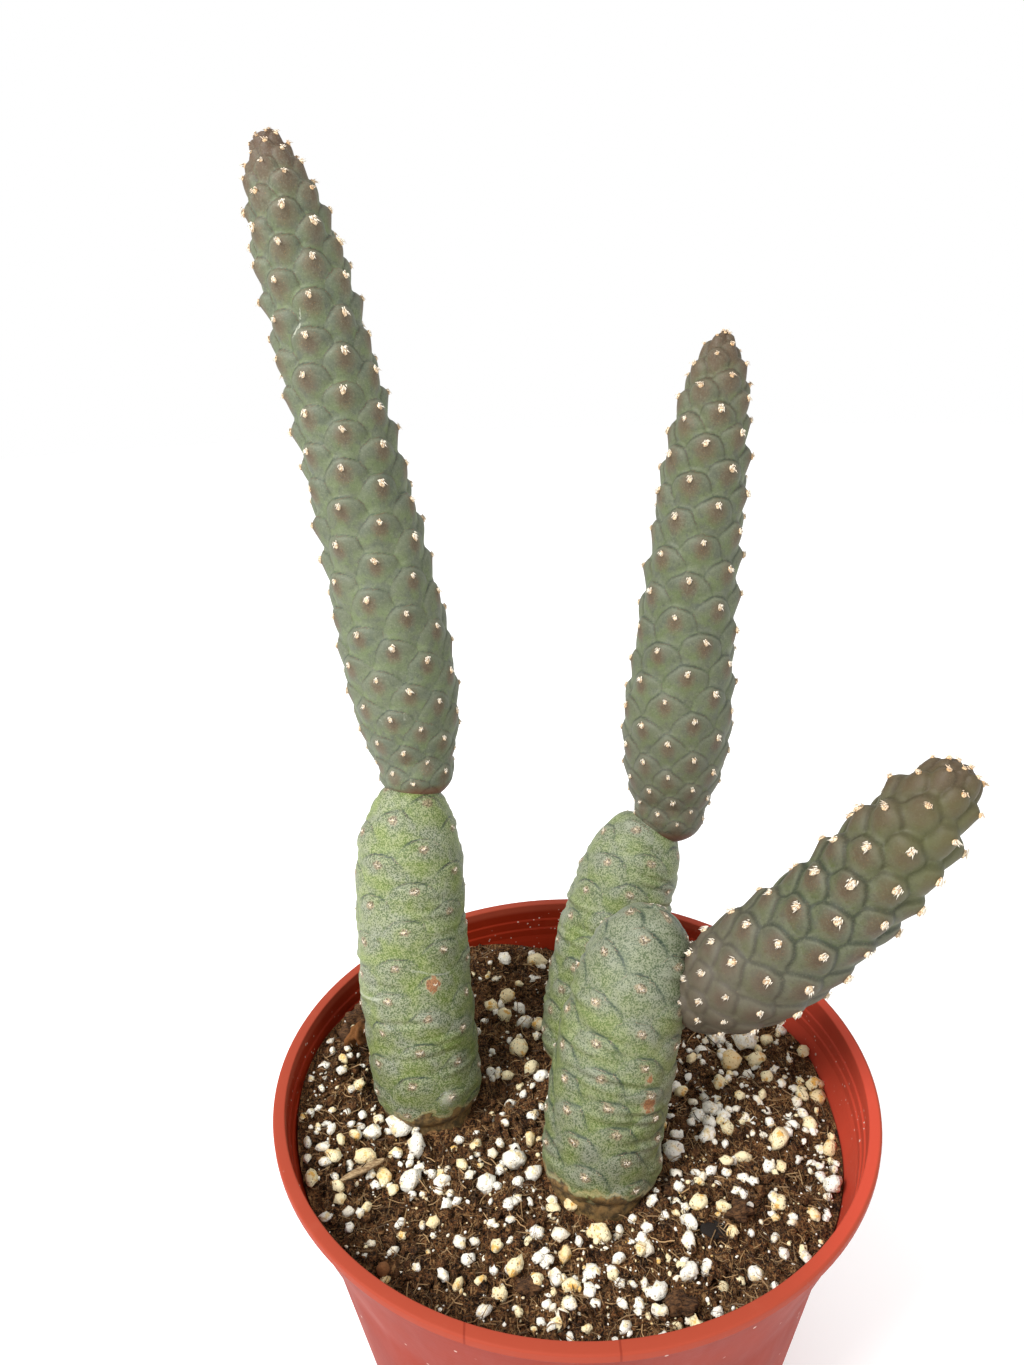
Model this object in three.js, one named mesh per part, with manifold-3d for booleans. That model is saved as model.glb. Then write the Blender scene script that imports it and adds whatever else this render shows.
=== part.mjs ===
// Potted pinecone cactus: three jointed stems of scaly segments in a round plastic pot of gritty soil.
// Millimetres, +Z up. The origin is the middle of the pot's foot; the photograph looks along +Y.
import * as THREE from 'three';
import { mergeVertices } from 'three/addons/utils/BufferGeometryUtils.js';
import Module from 'manifold-3d';

// Driving dimensions
const GAP = 0.3; // clearance between pieces that touch
const SEED = 20;

const POT_HEIGHT = 114;
const RIM_RADIUS = 77.5;
const COLLAR_Z = 85; // where the flared collar meets the body
const COLLAR_RADIUS = 68.3;
const FOOT_RADIUS = 54;
const WALL = 1.25;
const LIP_WIDTH = 3;
const POT_SIDES = 40;
const SOIL_SIDES = 20;
const FLOOR = 1.8; // floor thickness
const PAD_RADIUS = 32; // flat middle of the floor
const DRAIN_RISE = 2.4; // height of the ring that carries the drain holes
const DRAIN_RING = 42;
const DRAIN_RADIUS = 4.5;
const DRAIN_COUNT = 8;

const SOIL_Z = 95.5;
const GRAIN_COUNT = 46;
const GRAIN_SIZE = [2.2, 4.2]; // smallest and largest half width of a lump of perlite

const NECK_RADIUS = 6.2; // plain neck on which an upper segment sits
const NECK_DEPTH = 4;
const ROOT_RADIUS = 8.5; // blunt end of a lower segment, in the soil
const ROOT_DEPTH = 18;

const POT_COLOUR = 0xc4583f;
const SOIL_COLOUR = 0x4a3628;
const LOWER_COLOUR = 0x838a6c;
const UPPER_COLOUR = 0x5c6854;

// Scales: lift of the skin in the groove around a scale, at its top and side shoulders, its toe and
// the crown that carries the tuft, how far the scale hangs below its tuft, and the tuft's size
const UPPER_SCALE = {
  groove: -1.1, crest: 1.1, side: 0.8, toe: -0.1, crown: 1.2, sag: 1.8, tuft: 1.25, tuftRise: 1.1,
};
const LOWER_SCALE = {
  groove: -0.6, crest: 0.5, side: 0.4, toe: 0.1, crown: 1.2, sag: 1.6, tuft: 0, tuftRise: 0,
};

// Segments. path: start, control and end of the axis. girth: radius low and high, belly, rounded
// lengths at both ends and the share of the radius left at each end. rise: climb of eight scales
// along the axis at a height, twist: degrees that eight scales turn past three full turns,
// start: height and angle of one tuft, hand: which way the spiral climbs.
const STEMS = {
  left: {
    lower: {
      path: [[-38.2, 5.7, 95.4], [-44.5, 19, 140.9], [-40.6, 32.2, 182.3]],
      girth: { low: 14.7, high: 13.4, belly: 1.1, foot: 11.4, head: 23.9, footShare: 0.74, headShare: 0.25 },
      rise: [[5, 8.5], [25, 8.6], [45, 8.9], [65, 10.8], [90, 11.7]],
      twist: [[5, 14], [25, 11], [65, 11], [90, 12]],
      start: [60.4, 231],
      hand: 1,
    },
    upper: {
      path: [[-38.7, 31.6, 180.6], [-41.7, 47.9, 223.6], [-65.7, 50.4, 341]],
      girth: { low: 18.6, high: 10.8, belly: -1, foot: 70, head: 34.4, footShare: 0, headShare: 0.36 },
      rise: [[5, 5.5], [30, 7.1], [60, 9.4], [95, 8.9], [125, 8.4], [155, 6.8]],
      twist: [[5, 24.5], [30, 24.3], [60, 15.4], [95, 10.5], [125, 15.4], [155, 17.4]],
      start: [69.3, 240],
      hand: 1,
    },
  },
  back: {
    lower: {
      path: [[7, 22, 94.6], [8.4, 32.2, 123.1], [26.9, 45.7, 160.9]],
      girth: { low: 14.6, high: 14.3, belly: 0.5, foot: 10.4, head: 20.3, footShare: 0.65, headShare: 0.36 },
      rise: [[15, 6.3], [35, 7.4], [55, 9.6], [70, 11.9]],
      twist: [[15, 11.6], [35, 11.9], [55, 13.1], [70, 13.9]],
      start: [41.1, 206],
      hand: 1,
    },
    upper: {
      path: [[31.7, 43.6, 158.5], [41, 67.8, 244], [47.4, 66.3, 294]],
      girth: { low: 18.3, high: 12.3, belly: -2.5, foot: 32.3, head: 59.7, footShare: 0, headShare: 0.09 },
      rise: [[10, 4], [25, 6.3], [45, 8.6], [70, 10.8], [100, 10.2], [135, 8.5]],
      twist: [[10, 21], [25, 27], [45, 18.5], [70, 10.2], [100, 12.9], [135, 14.1]],
      start: [34.2, 276.6],
      hand: 1,
    },
  },
  front: {
    lower: {
      path: [[5.7, -19.4, 95.4], [8.5, -8.6, 128.2], [22.6, 1.8, 159.3]],
      girth: { low: 14.6, high: 13.2, belly: 1.2, foot: 4.1, head: 20.2, footShare: 0.89, headShare: 0.18 },
      rise: [[5, 8.4], [20, 5.8], [35, 7.2], [50, 11.3], [65, 9.3]],
      twist: [[5, 15], [20, 11], [35, 11], [50, 12.3], [65, 12.3]],
      start: [26.4, 213],
      hand: -1,
    },
    upper: {
      path: [[28.8, -6, 138.4], [56.4, -18, 158.3], [81.6, -23.6, 208.1]],
      girth: { low: 18.8, high: 11.6, belly: -2.4, foot: 43.8, head: 29.3, footShare: 0.11, headShare: 0.32 },
      rise: [[10, 4], [25, 7.5], [40, 8.7], [60, 8], [85, 10.4]],
      twist: [[10, 22], [25, 22.4], [40, 15], [60, 14], [85, 16.8]],
      start: [28.4, 235.4],
      hand: -1,
    },
  },
};
const LATTICE_START = { lower: 4.5, upper: 6 }; // height of the first whole scale on a segment
const LATTICE_END = 3.2; // scales stop this far below a segment's tip
const TIP_RISE = 2.4; // dome past the end of the axis

const wasm = await Module();
wasm.setup();

const radians = THREE.MathUtils.degToRad;
const clamp = THREE.MathUtils.clamp;

// Repeatable random numbers from 0 to 1
function randomSource(seed) {
  let state = seed;
  return () => {
    state = (state * 1664525 + 1013904223) % 4294967296;
    return state / 4294967296;
  };
}

// Value at x of a line through [x, y] knots, level beyond its ends
function alongKnots(knots, x) {
  if (x <= knots[0][0]) return knots[0][1];
  for (let i = 1; i < knots.length; i += 1) {
    const [x0, y0] = knots[i - 1];
    const [x1, y1] = knots[i];
    if (x <= x1) return y0 + ((y1 - y0) * (x - x0)) / (x1 - x0);
  }
  return knots[knots.length - 1][1];
}

// Solids: closed triangle lists of positions, joined and cut as manifolds
function solidOf(positions, triangles) {
  const mesh = new wasm.Mesh({
    numProp: 3,
    vertProperties: Float32Array.from(positions),
    triVerts: Uint32Array.from(triangles),
  });
  return new wasm.Manifold(mesh);
}

function solidOfGeometry(geometry) {
  geometry.deleteAttribute('normal');
  geometry.deleteAttribute('uv');
  const merged = mergeVertices(geometry, 1e-4);
  return solidOf(merged.attributes.position.array, merged.index.array);
}

function meshOf(solid, name, colour, roughness) {
  const { vertProperties, triVerts } = solid.getMesh();
  const geometry = new THREE.BufferGeometry();
  geometry.setAttribute('position', new THREE.BufferAttribute(vertProperties, 3));
  geometry.setIndex(new THREE.BufferAttribute(triVerts, 1));
  geometry.computeVertexNormals();
  const material = new THREE.MeshStandardMaterial({ color: colour, roughness, metalness: 0 });
  const mesh = new THREE.Mesh(geometry, material);
  mesh.name = name;
  return mesh;
}

// A turned solid: the profile of [radius, height] points, from axis to axis, upward on the outside
function turned(profile, sides) {
  const points = profile.map(([radius, height]) => new THREE.Vector2(radius, height));
  return solidOfGeometry(new THREE.LatheGeometry(points, sides).rotateX(Math.PI / 2));
}

// Segment axis: frame and skin radius at a height s along it, straight on past both ends
class Axis {
  constructor({ path, girth }) {
    const [start, control, end] = path.map((p) => new THREE.Vector3(...p));
    this.curve = new THREE.QuadraticBezierCurve3(start, control, end);
    this.length = this.curve.getLength();
    this.girth = girth;
  }

  frame(s) {
    const u = clamp(s / this.length, 0, 1);
    const forward = this.curve.getTangentAt(u);
    const right = new THREE.Vector3(1, 0, 0);
    right.addScaledVector(forward, -forward.x).normalize();
    const back = new THREE.Vector3().crossVectors(forward, right);
    const centre = this.curve.getPointAt(u).addScaledVector(forward, s - u * this.length);
    return { centre, forward, right, back };
  }

  radius(s) {
    const { low, high, belly, foot, head, footShare, headShare } = this.girth;
    const u = clamp(s / this.length, 0, 1);
    const t = this.curve.getUtoTmapping(u);
    const body = low + (high - low) * t + belly * 4 * t * (1 - t);
    const round = (distance, length) => Math.sqrt(1 - (1 - clamp(distance / length, 0, 1)) ** 2);
    const footRound = footShare + (1 - footShare) * round(t * this.length, foot);
    const headRound = headShare + (1 - headShare) * round((1 - t) * this.length, head);
    return body * footRound * headRound;
  }

  // Point at height s and angle (degrees), at a distance from the axis
  point(s, angle, distance) {
    const { centre, right, back } = this.frame(s);
    const a = radians(angle);
    centre.addScaledVector(right, distance * Math.cos(a));
    return centre.addScaledVector(back, distance * Math.sin(a));
  }
}

// Radius of the plain parts: the root in the soil or the neck in the segment below
function plainRadius(axis, level, s) {
  if (level === 'lower') {
    const top = axis.radius(0);
    return s < 0 ? top + ((ROOT_RADIUS - top) * -s) / ROOT_DEPTH : axis.radius(s);
  }
  return s < 0 ? NECK_RADIUS + 0.2 * s : Math.max(axis.radius(s), NECK_RADIUS);
}

// Smooth round solid along the axis, with a ring of given radius at each height
function sleeve(axis, rings, sides) {
  const positions = [];
  const triangles = [];
  rings.forEach(([s, radius]) => {
    for (let i = 0; i < sides; i += 1) {
      positions.push(...axis.point(s, (360 * i) / sides, radius).toArray());
    }
  });
  const last = rings.length - 1;
  positions.push(...axis.frame(rings[0][0]).centre.toArray());
  positions.push(...axis.frame(rings[last][0]).centre.toArray());
  const bottom = rings.length * sides;
  const top = bottom + 1;
  for (let i = 0; i < sides; i += 1) {
    const j = (i + 1) % sides;
    for (let k = 0; k < last; k += 1) {
      const a = k * sides + i;
      const b = k * sides + j;
      triangles.push(a, b, b + sides, a, b + sides, a + sides);
    }
    triangles.push(bottom, j, i, top, last * sides + i, last * sides + j);
  }
  return solidOf(positions, triangles);
}

// Tufts in spiral order from the bottom scale to the top one: [height, angle], index by index
function spiral({ rise, twist, start, hand }, from, to) {
  const step = (s) => [alongKnots(rise, s) / 8, (hand * (1080 + alongKnots(twist, s))) / 8];
  const tufts = [start];
  while (tufts[0][0] > from) {
    const [s, angle] = tufts[0];
    const [up, turn] = step(s);
    tufts.unshift([s - up, angle - turn]);
  }
  while (tufts[tufts.length - 1][0] < to) {
    const [s, angle] = tufts[tufts.length - 1];
    const [up, turn] = step(s);
    tufts.push([s + up, angle + turn]);
  }
  return tufts;
}

// Skin of a segment: one six-cornered scale around each tuft, whose neighbours in the spiral are
// 3, 5 and 8 places away, a plain root or neck below and a small dome on top
function segment(stem, level) {
  const spec = stem[level];
  const axis = new Axis(spec);
  const scale = level === 'upper' ? UPPER_SCALE : LOWER_SCALE;
  const first = LATTICE_START[level];
  const last = axis.length - LATTICE_END;
  const tufts = spiral(spec, first - 12, last + 14);
  const positions = [];
  const triangles = [];

  const fade = (s) => clamp((s - first + 4) / 8, 0, 1) * clamp((axis.length - s) / 6, 0.3, 1);
  const addPoint = (s, angle, lift) => {
    const distance = plainRadius(axis, level, s) + lift * fade(s);
    positions.push(...axis.point(s, angle, distance).toArray());
    return positions.length / 3 - 1;
  };

  // Corners shared by three scales, made once each
  const corners = new Map();
  const cornerPlace = (k, side) => {
    const turn = (n) => tufts[k + n][1] - tufts[k][1];
    const wrap = (n, whole) => turn(n) - spec.hand * 360 * whole;
    const middle = side === 3 ? wrap(3, 1) : wrap(5, 2);
    const s = (tufts[k][0] + tufts[k + side][0] + tufts[k + 8][0]) / 3 - scale.sag;
    return [s, tufts[k][1] + (middle + wrap(8, 3)) / 3];
  };
  const corner = (k, side) => {
    const key = `${k}:${side}`;
    if (!corners.has(key)) {
      const [s, angle] = cornerPlace(k, side);
      corners.set(key, { s, angle, index: addPoint(s, angle, scale.groove) });
    }
    return corners.get(key);
  };

  const edges = new Map();
  const addFace = (a, b, c) => {
    if (spec.hand > 0) triangles.push(a, b, c);
    else triangles.push(a, c, b);
  };
  tufts.forEach(([s, angle], k) => {
    if (k < 8 || k + 8 >= tufts.length || s < first || s > last) return;
    const ring = [[k, 3], [k, 5], [k - 3, 3], [k - 8, 5], [k - 8, 3], [k - 5, 5]];
    const outer = ring.map(([n, side]) => corner(n, side));
    const near = (value) => value - 360 * Math.round((value - angle) / 360);
    const lifts = [scale.crest, scale.crest, scale.side, scale.toe, scale.toe, scale.side];
    const spread = [0.84, 0.84, 0.8, 0.66, 0.66, 0.8];
    const inner = outer.map((c, i) => {
      const centre = s - scale.sag;
      const at = centre + (c.s - centre) * spread[i];
      return addPoint(at, angle + (near(c.angle) - angle) * spread[i], lifts[i]);
    });
    for (let i = 0; i < 6; i += 1) {
      const j = (i + 1) % 6;
      addFace(outer[i].index, outer[j].index, inner[j]);
      addFace(outer[i].index, inner[j], inner[i]);
      edges.set(`${outer[i].index}:${outer[j].index}`, [outer[i].index, outer[j].index]);
    }
    if (scale.tuft === 0) {
      const top = addPoint(s, angle, scale.crown);
      for (let i = 0; i < 6; i += 1) addFace(inner[i], inner[(i + 1) % 6], top);
      return;
    }
    const wide = (scale.tuft / axis.radius(s)) * THREE.MathUtils.RAD2DEG;
    const foot = [90, 210, 330].map((turn) => {
      const a = radians(turn);
      const reach = spec.hand * Math.cos(a) * wide;
      return addPoint(s + scale.tuft * Math.sin(a), angle + reach, scale.crown);
    });
    const tip = addPoint(s, angle, scale.crown + scale.tuftRise);
    for (let j = 0; j < 3; j += 1) {
      const [a, b, c] = [inner[2 * j], inner[2 * j + 1], inner[(2 * j + 2) % 6]];
      const [m, n] = [foot[j], foot[(j + 1) % 3]];
      addFace(a, b, m);
      addFace(b, n, m);
      addFace(b, c, n);
      addFace(m, n, tip);
    }
  });

  // Rims of the scaly skin: edges with a scale on one side only, as loops
  const follow = new Map();
  edges.forEach(([a, b]) => {
    if (!edges.has(`${b}:${a}`)) follow.set(a, b);
  });
  const angleOf = new Map();
  const heightOf = new Map();
  corners.forEach((c) => {
    angleOf.set(c.index, c.angle);
    heightOf.set(c.index, c.s);
  });
  while (follow.size > 0) {
    const loop = [follow.keys().next().value];
    while (follow.has(loop[loop.length - 1])) {
      const from = loop[loop.length - 1];
      loop.push(follow.get(from));
      follow.delete(from);
    }
    loop.pop();
    const mean = loop.reduce((sum, i) => sum + heightOf.get(i), 0) / loop.length;
    const atFoot = mean < axis.length / 2;
    const direction = (atFoot ? 1 : -1) * spec.hand;
    const depth = level === 'lower' ? ROOT_DEPTH : NECK_DEPTH;
    const dome = [[axis.length, 1], [axis.length + TIP_RISE * 0.65, 0.68]];
    const rings = atFoot ? [[0, 1], [-depth, 1]] : dome; // height and share of the radius
    let rim = loop;
    rings.forEach(([s, share]) => {
      const start = angleOf.get(loop[0]);
      const radius = share * plainRadius(axis, level, s);
      const next = loop.map((_, i) => {
        const turn = start + (direction * 360 * i) / loop.length;
        positions.push(...axis.point(s, turn, radius).toArray());
        return positions.length / 3 - 1;
      });
      rim.forEach((a, i) => {
        const j = (i + 1) % rim.length;
        addFace(rim[j], a, next[i]);
        addFace(rim[j], next[i], next[j]);
      });
      rim = next;
    });
    const end = atFoot ? -depth : axis.length + TIP_RISE;
    positions.push(...axis.frame(end).centre.toArray());
    const tip = positions.length / 3 - 1;
    rim.forEach((a, i) => addFace(rim[(i + 1) % rim.length], a, tip));
  }
  return solidOf(positions, triangles);
}

// What a segment's foot takes out of the piece that it stands in
function socket(stem, level) {
  const axis = new Axis(stem[level]);
  const depth = level === 'lower' ? ROOT_DEPTH : NECK_DEPTH;
  const lift = level === 'lower' ? 1.4 : 2.8;
  const sides = 24;
  const widen = 1 / Math.cos(Math.PI / sides);
  const heights = [-depth - GAP, 0, 1, 2, 3, 4.5, 6, 8, 11, 16, 24];
  const rings = heights.map((s) => {
    const raised = lift * clamp((s + 6.5 - LATTICE_START[level]) / 8, 0, 1);
    return [s, (plainRadius(axis, level, Math.max(s, -depth)) + raised + GAP) * widen];
  });
  return sleeve(axis, rings, sides);
}

// Pot: outer wall up from the flat foot, flared collar, wide lip, stacking ledges inside, floor
function pot() {
  const inside = (z) => {
    const share = (z - COLLAR_Z) / (POT_HEIGHT - COLLAR_Z);
    const low = FOOT_RADIUS + ((COLLAR_RADIUS - FOOT_RADIUS) * z) / COLLAR_Z;
    return (z < COLLAR_Z ? low : COLLAR_RADIUS + (RIM_RADIUS - COLLAR_RADIUS) * share) - WALL;
  };
  const lipInside = RIM_RADIUS - LIP_WIDTH;
  const profile = [
    [0, 0], [PAD_RADIUS, 0], [PAD_RADIUS + 2.4, DRAIN_RISE], [49, DRAIN_RISE], [51, 0],
    [FOOT_RADIUS, 0.3], [COLLAR_RADIUS, COLLAR_Z], [RIM_RADIUS - 0.7, POT_HEIGHT - 2.4],
    [RIM_RADIUS, POT_HEIGHT - 2], [RIM_RADIUS, POT_HEIGHT - 0.5], [RIM_RADIUS - 0.5, POT_HEIGHT],
    [lipInside, POT_HEIGHT], [lipInside - 0.3, POT_HEIGHT - 5.5], [lipInside - 1, POT_HEIGHT - 6],
    [inside(POT_HEIGHT - 11.5), POT_HEIGHT - 11.5], [inside(COLLAR_Z), COLLAR_Z],
    [inside(DRAIN_RISE + FLOOR), DRAIN_RISE + FLOOR], [PAD_RADIUS + 1.6, DRAIN_RISE + FLOOR],
    [PAD_RADIUS - 0.8, FLOOR], [0, FLOOR],
  ];
  let body = turned(profile, POT_SIDES);
  for (let i = 0; i < DRAIN_COUNT; i += 1) {
    const angle = (2 * Math.PI * (i + 0.5)) / DRAIN_COUNT;
    const drill = new THREE.CylinderGeometry(DRAIN_RADIUS, DRAIN_RADIUS, 12, 10).rotateX(Math.PI / 2);
    drill.translate(DRAIN_RING * Math.cos(angle), DRAIN_RING * Math.sin(angle), DRAIN_RISE);
    body = body.subtract(solidOfGeometry(drill));
  }
  return { body, inside };
}

// Lie of the soil: a heap at the left back, shallow hollows elsewhere
function soilHeight(x, y) {
  const heap = 3.2 * Math.exp(-((x + 45) ** 2 + (y - 42) ** 2) / 500);
  const waves = Math.sin(x * 0.13 + 1.1) * Math.cos(y * 0.11) + 0.6 * Math.sin(x * 0.31 - y * 0.27);
  return SOIL_Z + heap + 0.7 * waves;
}

// Soil: fills the pot, with half-sunk lumps of perlite and a plain hole for each stem
function soil(inside) {
  const random = randomSource(SEED);
  const radii = [inside(SOIL_Z) - GAP, 64, 52, 40, 27, 13];
  const bottom = DRAIN_RISE + FLOOR + GAP;
  const profile = [
    [0, FLOOR + GAP], [PAD_RADIUS - 1, FLOOR + GAP], [PAD_RADIUS + 1.4, bottom],
    [inside(bottom) - GAP, bottom], [inside(COLLAR_Z) - GAP, COLLAR_Z],
    ...radii.map((radius) => [radius, SOIL_Z]), [0, SOIL_Z],
  ];
  const points = profile.map(([radius, height]) => new THREE.Vector2(radius, height));
  const lathe = new THREE.LatheGeometry(points, SOIL_SIDES).rotateX(Math.PI / 2);
  const position = lathe.attributes.position;
  const edge = radii[0];
  for (let i = 0; i < position.count; i += 1) {
    if (Math.abs(position.getZ(i) - SOIL_Z) < 0.01) {
      const [x, y] = [position.getX(i), position.getY(i)];
      const share = clamp((edge - Math.hypot(x, y)) / 6, 0, 1);
      position.setZ(i, SOIL_Z + (soilHeight(x, y) - SOIL_Z) * share);
    }
  }
  let body = solidOfGeometry(lathe);

  const feet = Object.values(STEMS).map((stem) => stem.lower.path[0]);
  let placed = 0;
  while (placed < GRAIN_COUNT) {
    const radius = edge * Math.sqrt(random()) * 0.93;
    const angle = 2 * Math.PI * random();
    const half = GRAIN_SIZE[0] + (GRAIN_SIZE[1] - GRAIN_SIZE[0]) * random() ** 2;
    const [x, y] = [radius * Math.cos(angle), radius * Math.sin(angle)];
    const clear = feet.every(([fx, fy]) => Math.hypot(x - fx, y - fy) > 17 + half);
    const grain = new THREE.OctahedronGeometry(half).scale(1, 0.7 + 0.4 * random(), 0.75);
    grain.rotateX(random() * 0.8).rotateZ(random() * Math.PI).translate(x, y, soilHeight(x, y) + half * 0.2);
    if (clear && radius + half < edge - 0.5) {
      body = body.add(solidOfGeometry(grain));
      placed += 1;
    }
  }
  Object.values(STEMS).forEach((stem) => {
    body = body.subtract(socket(stem, 'lower'));
  });
  return body;
}

const plant = new THREE.Group();
plant.name = 'potted_pinecone_cactus';
const { body: potBody, inside } = pot();
plant.add(meshOf(potBody, 'pot', POT_COLOUR, 0.5));
plant.add(meshOf(soil(inside), 'soil', SOIL_COLOUR, 1));
Object.entries(STEMS).forEach(([place, stem]) => {
  const lower = segment(stem, 'lower').subtract(socket(stem, 'upper'));
  plant.add(meshOf(lower, `${place}_lower_segment`, LOWER_COLOUR, 0.8));
  plant.add(meshOf(segment(stem, 'upper'), `${place}_upper_segment`, UPPER_COLOUR, 0.75));
});

export default plant;
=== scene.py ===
# %% [markdown]
# # A potted pinecone cactus
# Three stems stand in a round plastic nursery pot. Each stem is two jointed segments whose skin is
# raised in scales, like a pinecone, and every scale carries a tuft of wool and short spines.
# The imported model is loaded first, and stays the frame: every piece goes where its node is.

# %% Load the frame
import math
import random

import bmesh
import bpy
import numpy as np
from mathutils import Matrix, Vector, noise


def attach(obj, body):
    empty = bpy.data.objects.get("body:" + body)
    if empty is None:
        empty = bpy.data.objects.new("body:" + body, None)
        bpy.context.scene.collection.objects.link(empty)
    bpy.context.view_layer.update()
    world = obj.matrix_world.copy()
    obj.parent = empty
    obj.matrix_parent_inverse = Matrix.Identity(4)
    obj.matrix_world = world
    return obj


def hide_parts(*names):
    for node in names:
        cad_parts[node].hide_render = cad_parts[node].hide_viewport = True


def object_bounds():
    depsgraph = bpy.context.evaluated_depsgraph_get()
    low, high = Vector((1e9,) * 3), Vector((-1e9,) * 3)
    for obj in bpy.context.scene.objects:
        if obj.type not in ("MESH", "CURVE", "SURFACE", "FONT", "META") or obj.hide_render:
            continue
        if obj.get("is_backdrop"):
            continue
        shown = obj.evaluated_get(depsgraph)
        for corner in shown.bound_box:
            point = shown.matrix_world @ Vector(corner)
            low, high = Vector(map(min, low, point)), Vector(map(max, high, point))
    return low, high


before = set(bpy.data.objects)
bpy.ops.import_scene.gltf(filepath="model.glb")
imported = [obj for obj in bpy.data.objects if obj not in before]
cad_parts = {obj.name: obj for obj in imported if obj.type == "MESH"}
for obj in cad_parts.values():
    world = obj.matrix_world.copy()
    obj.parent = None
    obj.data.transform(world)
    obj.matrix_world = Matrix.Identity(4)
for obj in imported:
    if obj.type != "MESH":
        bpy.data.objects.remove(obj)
cad_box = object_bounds()
print("CAD box", [list(map(float, corner)) for corner in cad_box])

MM = 0.001  # lengths below are in millimetres unless a name says otherwise
chance = random.Random(7)

# %% [markdown]
# ## Camera
# The photograph was taken close, from a little above the plant. The camera stands where the pot's rim
# and the stems line up with the picture, which is 1024 pixels wide and 1365 high.

# %% Camera
PICTURE_HEIGHT = 1365
FOCAL_PIXELS = 950
CAMERA_PLACE = Vector((-12.3, -202.1, 296.1)) * MM
PITCH = math.radians(20.18)  # looking down
ROLL = math.radians(-1.94)

camera_data = bpy.data.cameras.new("camera")
camera_data.sensor_fit = "VERTICAL"
camera_data.sensor_height = 36
camera_data.lens = FOCAL_PIXELS / PICTURE_HEIGHT * camera_data.sensor_height
camera_data.clip_start = 0.01
camera = bpy.data.objects.new("camera", camera_data)
bpy.context.collection.objects.link(camera)
turn = Matrix.Rotation(math.pi / 2 - PITCH, 4, "X") @ Matrix.Rotation(ROLL, 4, "Z")
camera.matrix_world = Matrix.Translation(CAMERA_PLACE) @ turn
bpy.context.scene.camera = camera
print("camera at", [round(v, 4) for v in CAMERA_PLACE], "lens", round(camera_data.lens, 2))

# %% [markdown]
# ## Floor and light
# A plain white floor and sky, a broad soft lamp above and in front, and a weaker one on the right.
# The large white surroundings do most of the work, as in a light tent.

# %% Floor
floor_mesh = bmesh.new()
bmesh.ops.create_circle(floor_mesh, cap_ends=True, segments=64, radius=3.0)
floor_data = bpy.data.meshes.new("floor")
floor_mesh.to_mesh(floor_data)
floor = bpy.data.objects.new("floor", floor_data)
bpy.context.collection.objects.link(floor)
floor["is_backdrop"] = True


# %% Lamps
def lamp(name, place, aim, size, power):
    data = bpy.data.lights.new(name, "AREA")
    data.shape = "DISK"
    data.size = size
    data.energy = power
    made = bpy.data.objects.new(name, data)
    bpy.context.collection.objects.link(made)
    made.location = place
    made.rotation_euler = (Vector(aim) - Vector(place)).to_track_quat("-Z", "Y").to_euler()
    return made


PLANT_MIDDLE = (0.0, 0.0, 0.2)
lamp("key_lamp", (-0.75, -0.6, 1.2), PLANT_MIDDLE, 0.6, 26.0)
lamp("fill_lamp", (0.9, -0.5, 0.7), PLANT_MIDDLE, 0.9, 2.0)

world = bpy.data.worlds.new("studio")
world.use_nodes = True
world.node_tree.nodes["Background"].inputs["Color"].default_value = (1, 1, 1, 1)
world.node_tree.nodes["Background"].inputs["Strength"].default_value = 1.0
bpy.context.scene.world = world
bpy.context.scene.view_settings.view_transform = "Standard"  # white stays white

# %% [markdown]
# ## Shader maths as Python
# A finish is a tree of small sums: noise here, a mask there. `Wire` wraps one output socket, so that
# `1 - mask` or `mask * 0.3` adds the Math node that does it, and a `Finish` adds any other node.


# %% Wire and Finish
class Wire:
    """A number somewhere in a shader, which can be used in sums."""

    def __init__(self, finish, socket):
        self.finish = finish
        self.socket = socket

    def sum(self, operation, *others, clamp=False):
        settings = {"operation": operation, "use_clamp": clamp}
        return self.finish.add("ShaderNodeMath", settings, (self, *others))["Value"]

    def __add__(self, other):
        return self.sum("ADD", other)

    def __sub__(self, other):
        return self.sum("SUBTRACT", other)

    def __mul__(self, other):
        return self.sum("MULTIPLY", other)

    def __truediv__(self, other):
        return self.sum("DIVIDE", other)

    def __pow__(self, other):
        return self.sum("POWER", other)

    def __rsub__(self, other):
        return self.finish.add("ShaderNodeMath", {"operation": "SUBTRACT"}, (other, self))["Value"]

    __radd__ = __add__
    __rmul__ = __mul__

    def step(self, low, high):
        """0 below low, 1 above high, smooth between; low may be the larger."""
        settings = {"interpolation_type": "SMOOTHSTEP"}
        values = {"Value": self, "From Min": low, "From Max": high}
        return self.finish.add("ShaderNodeMapRange", settings, values)["Result"]

    def bell(self, middle, width):
        """1 at the middle, falling to 0 a few widths away."""
        off = (self - middle) / width
        return (off * off * -1).sum("EXPONENT")


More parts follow.
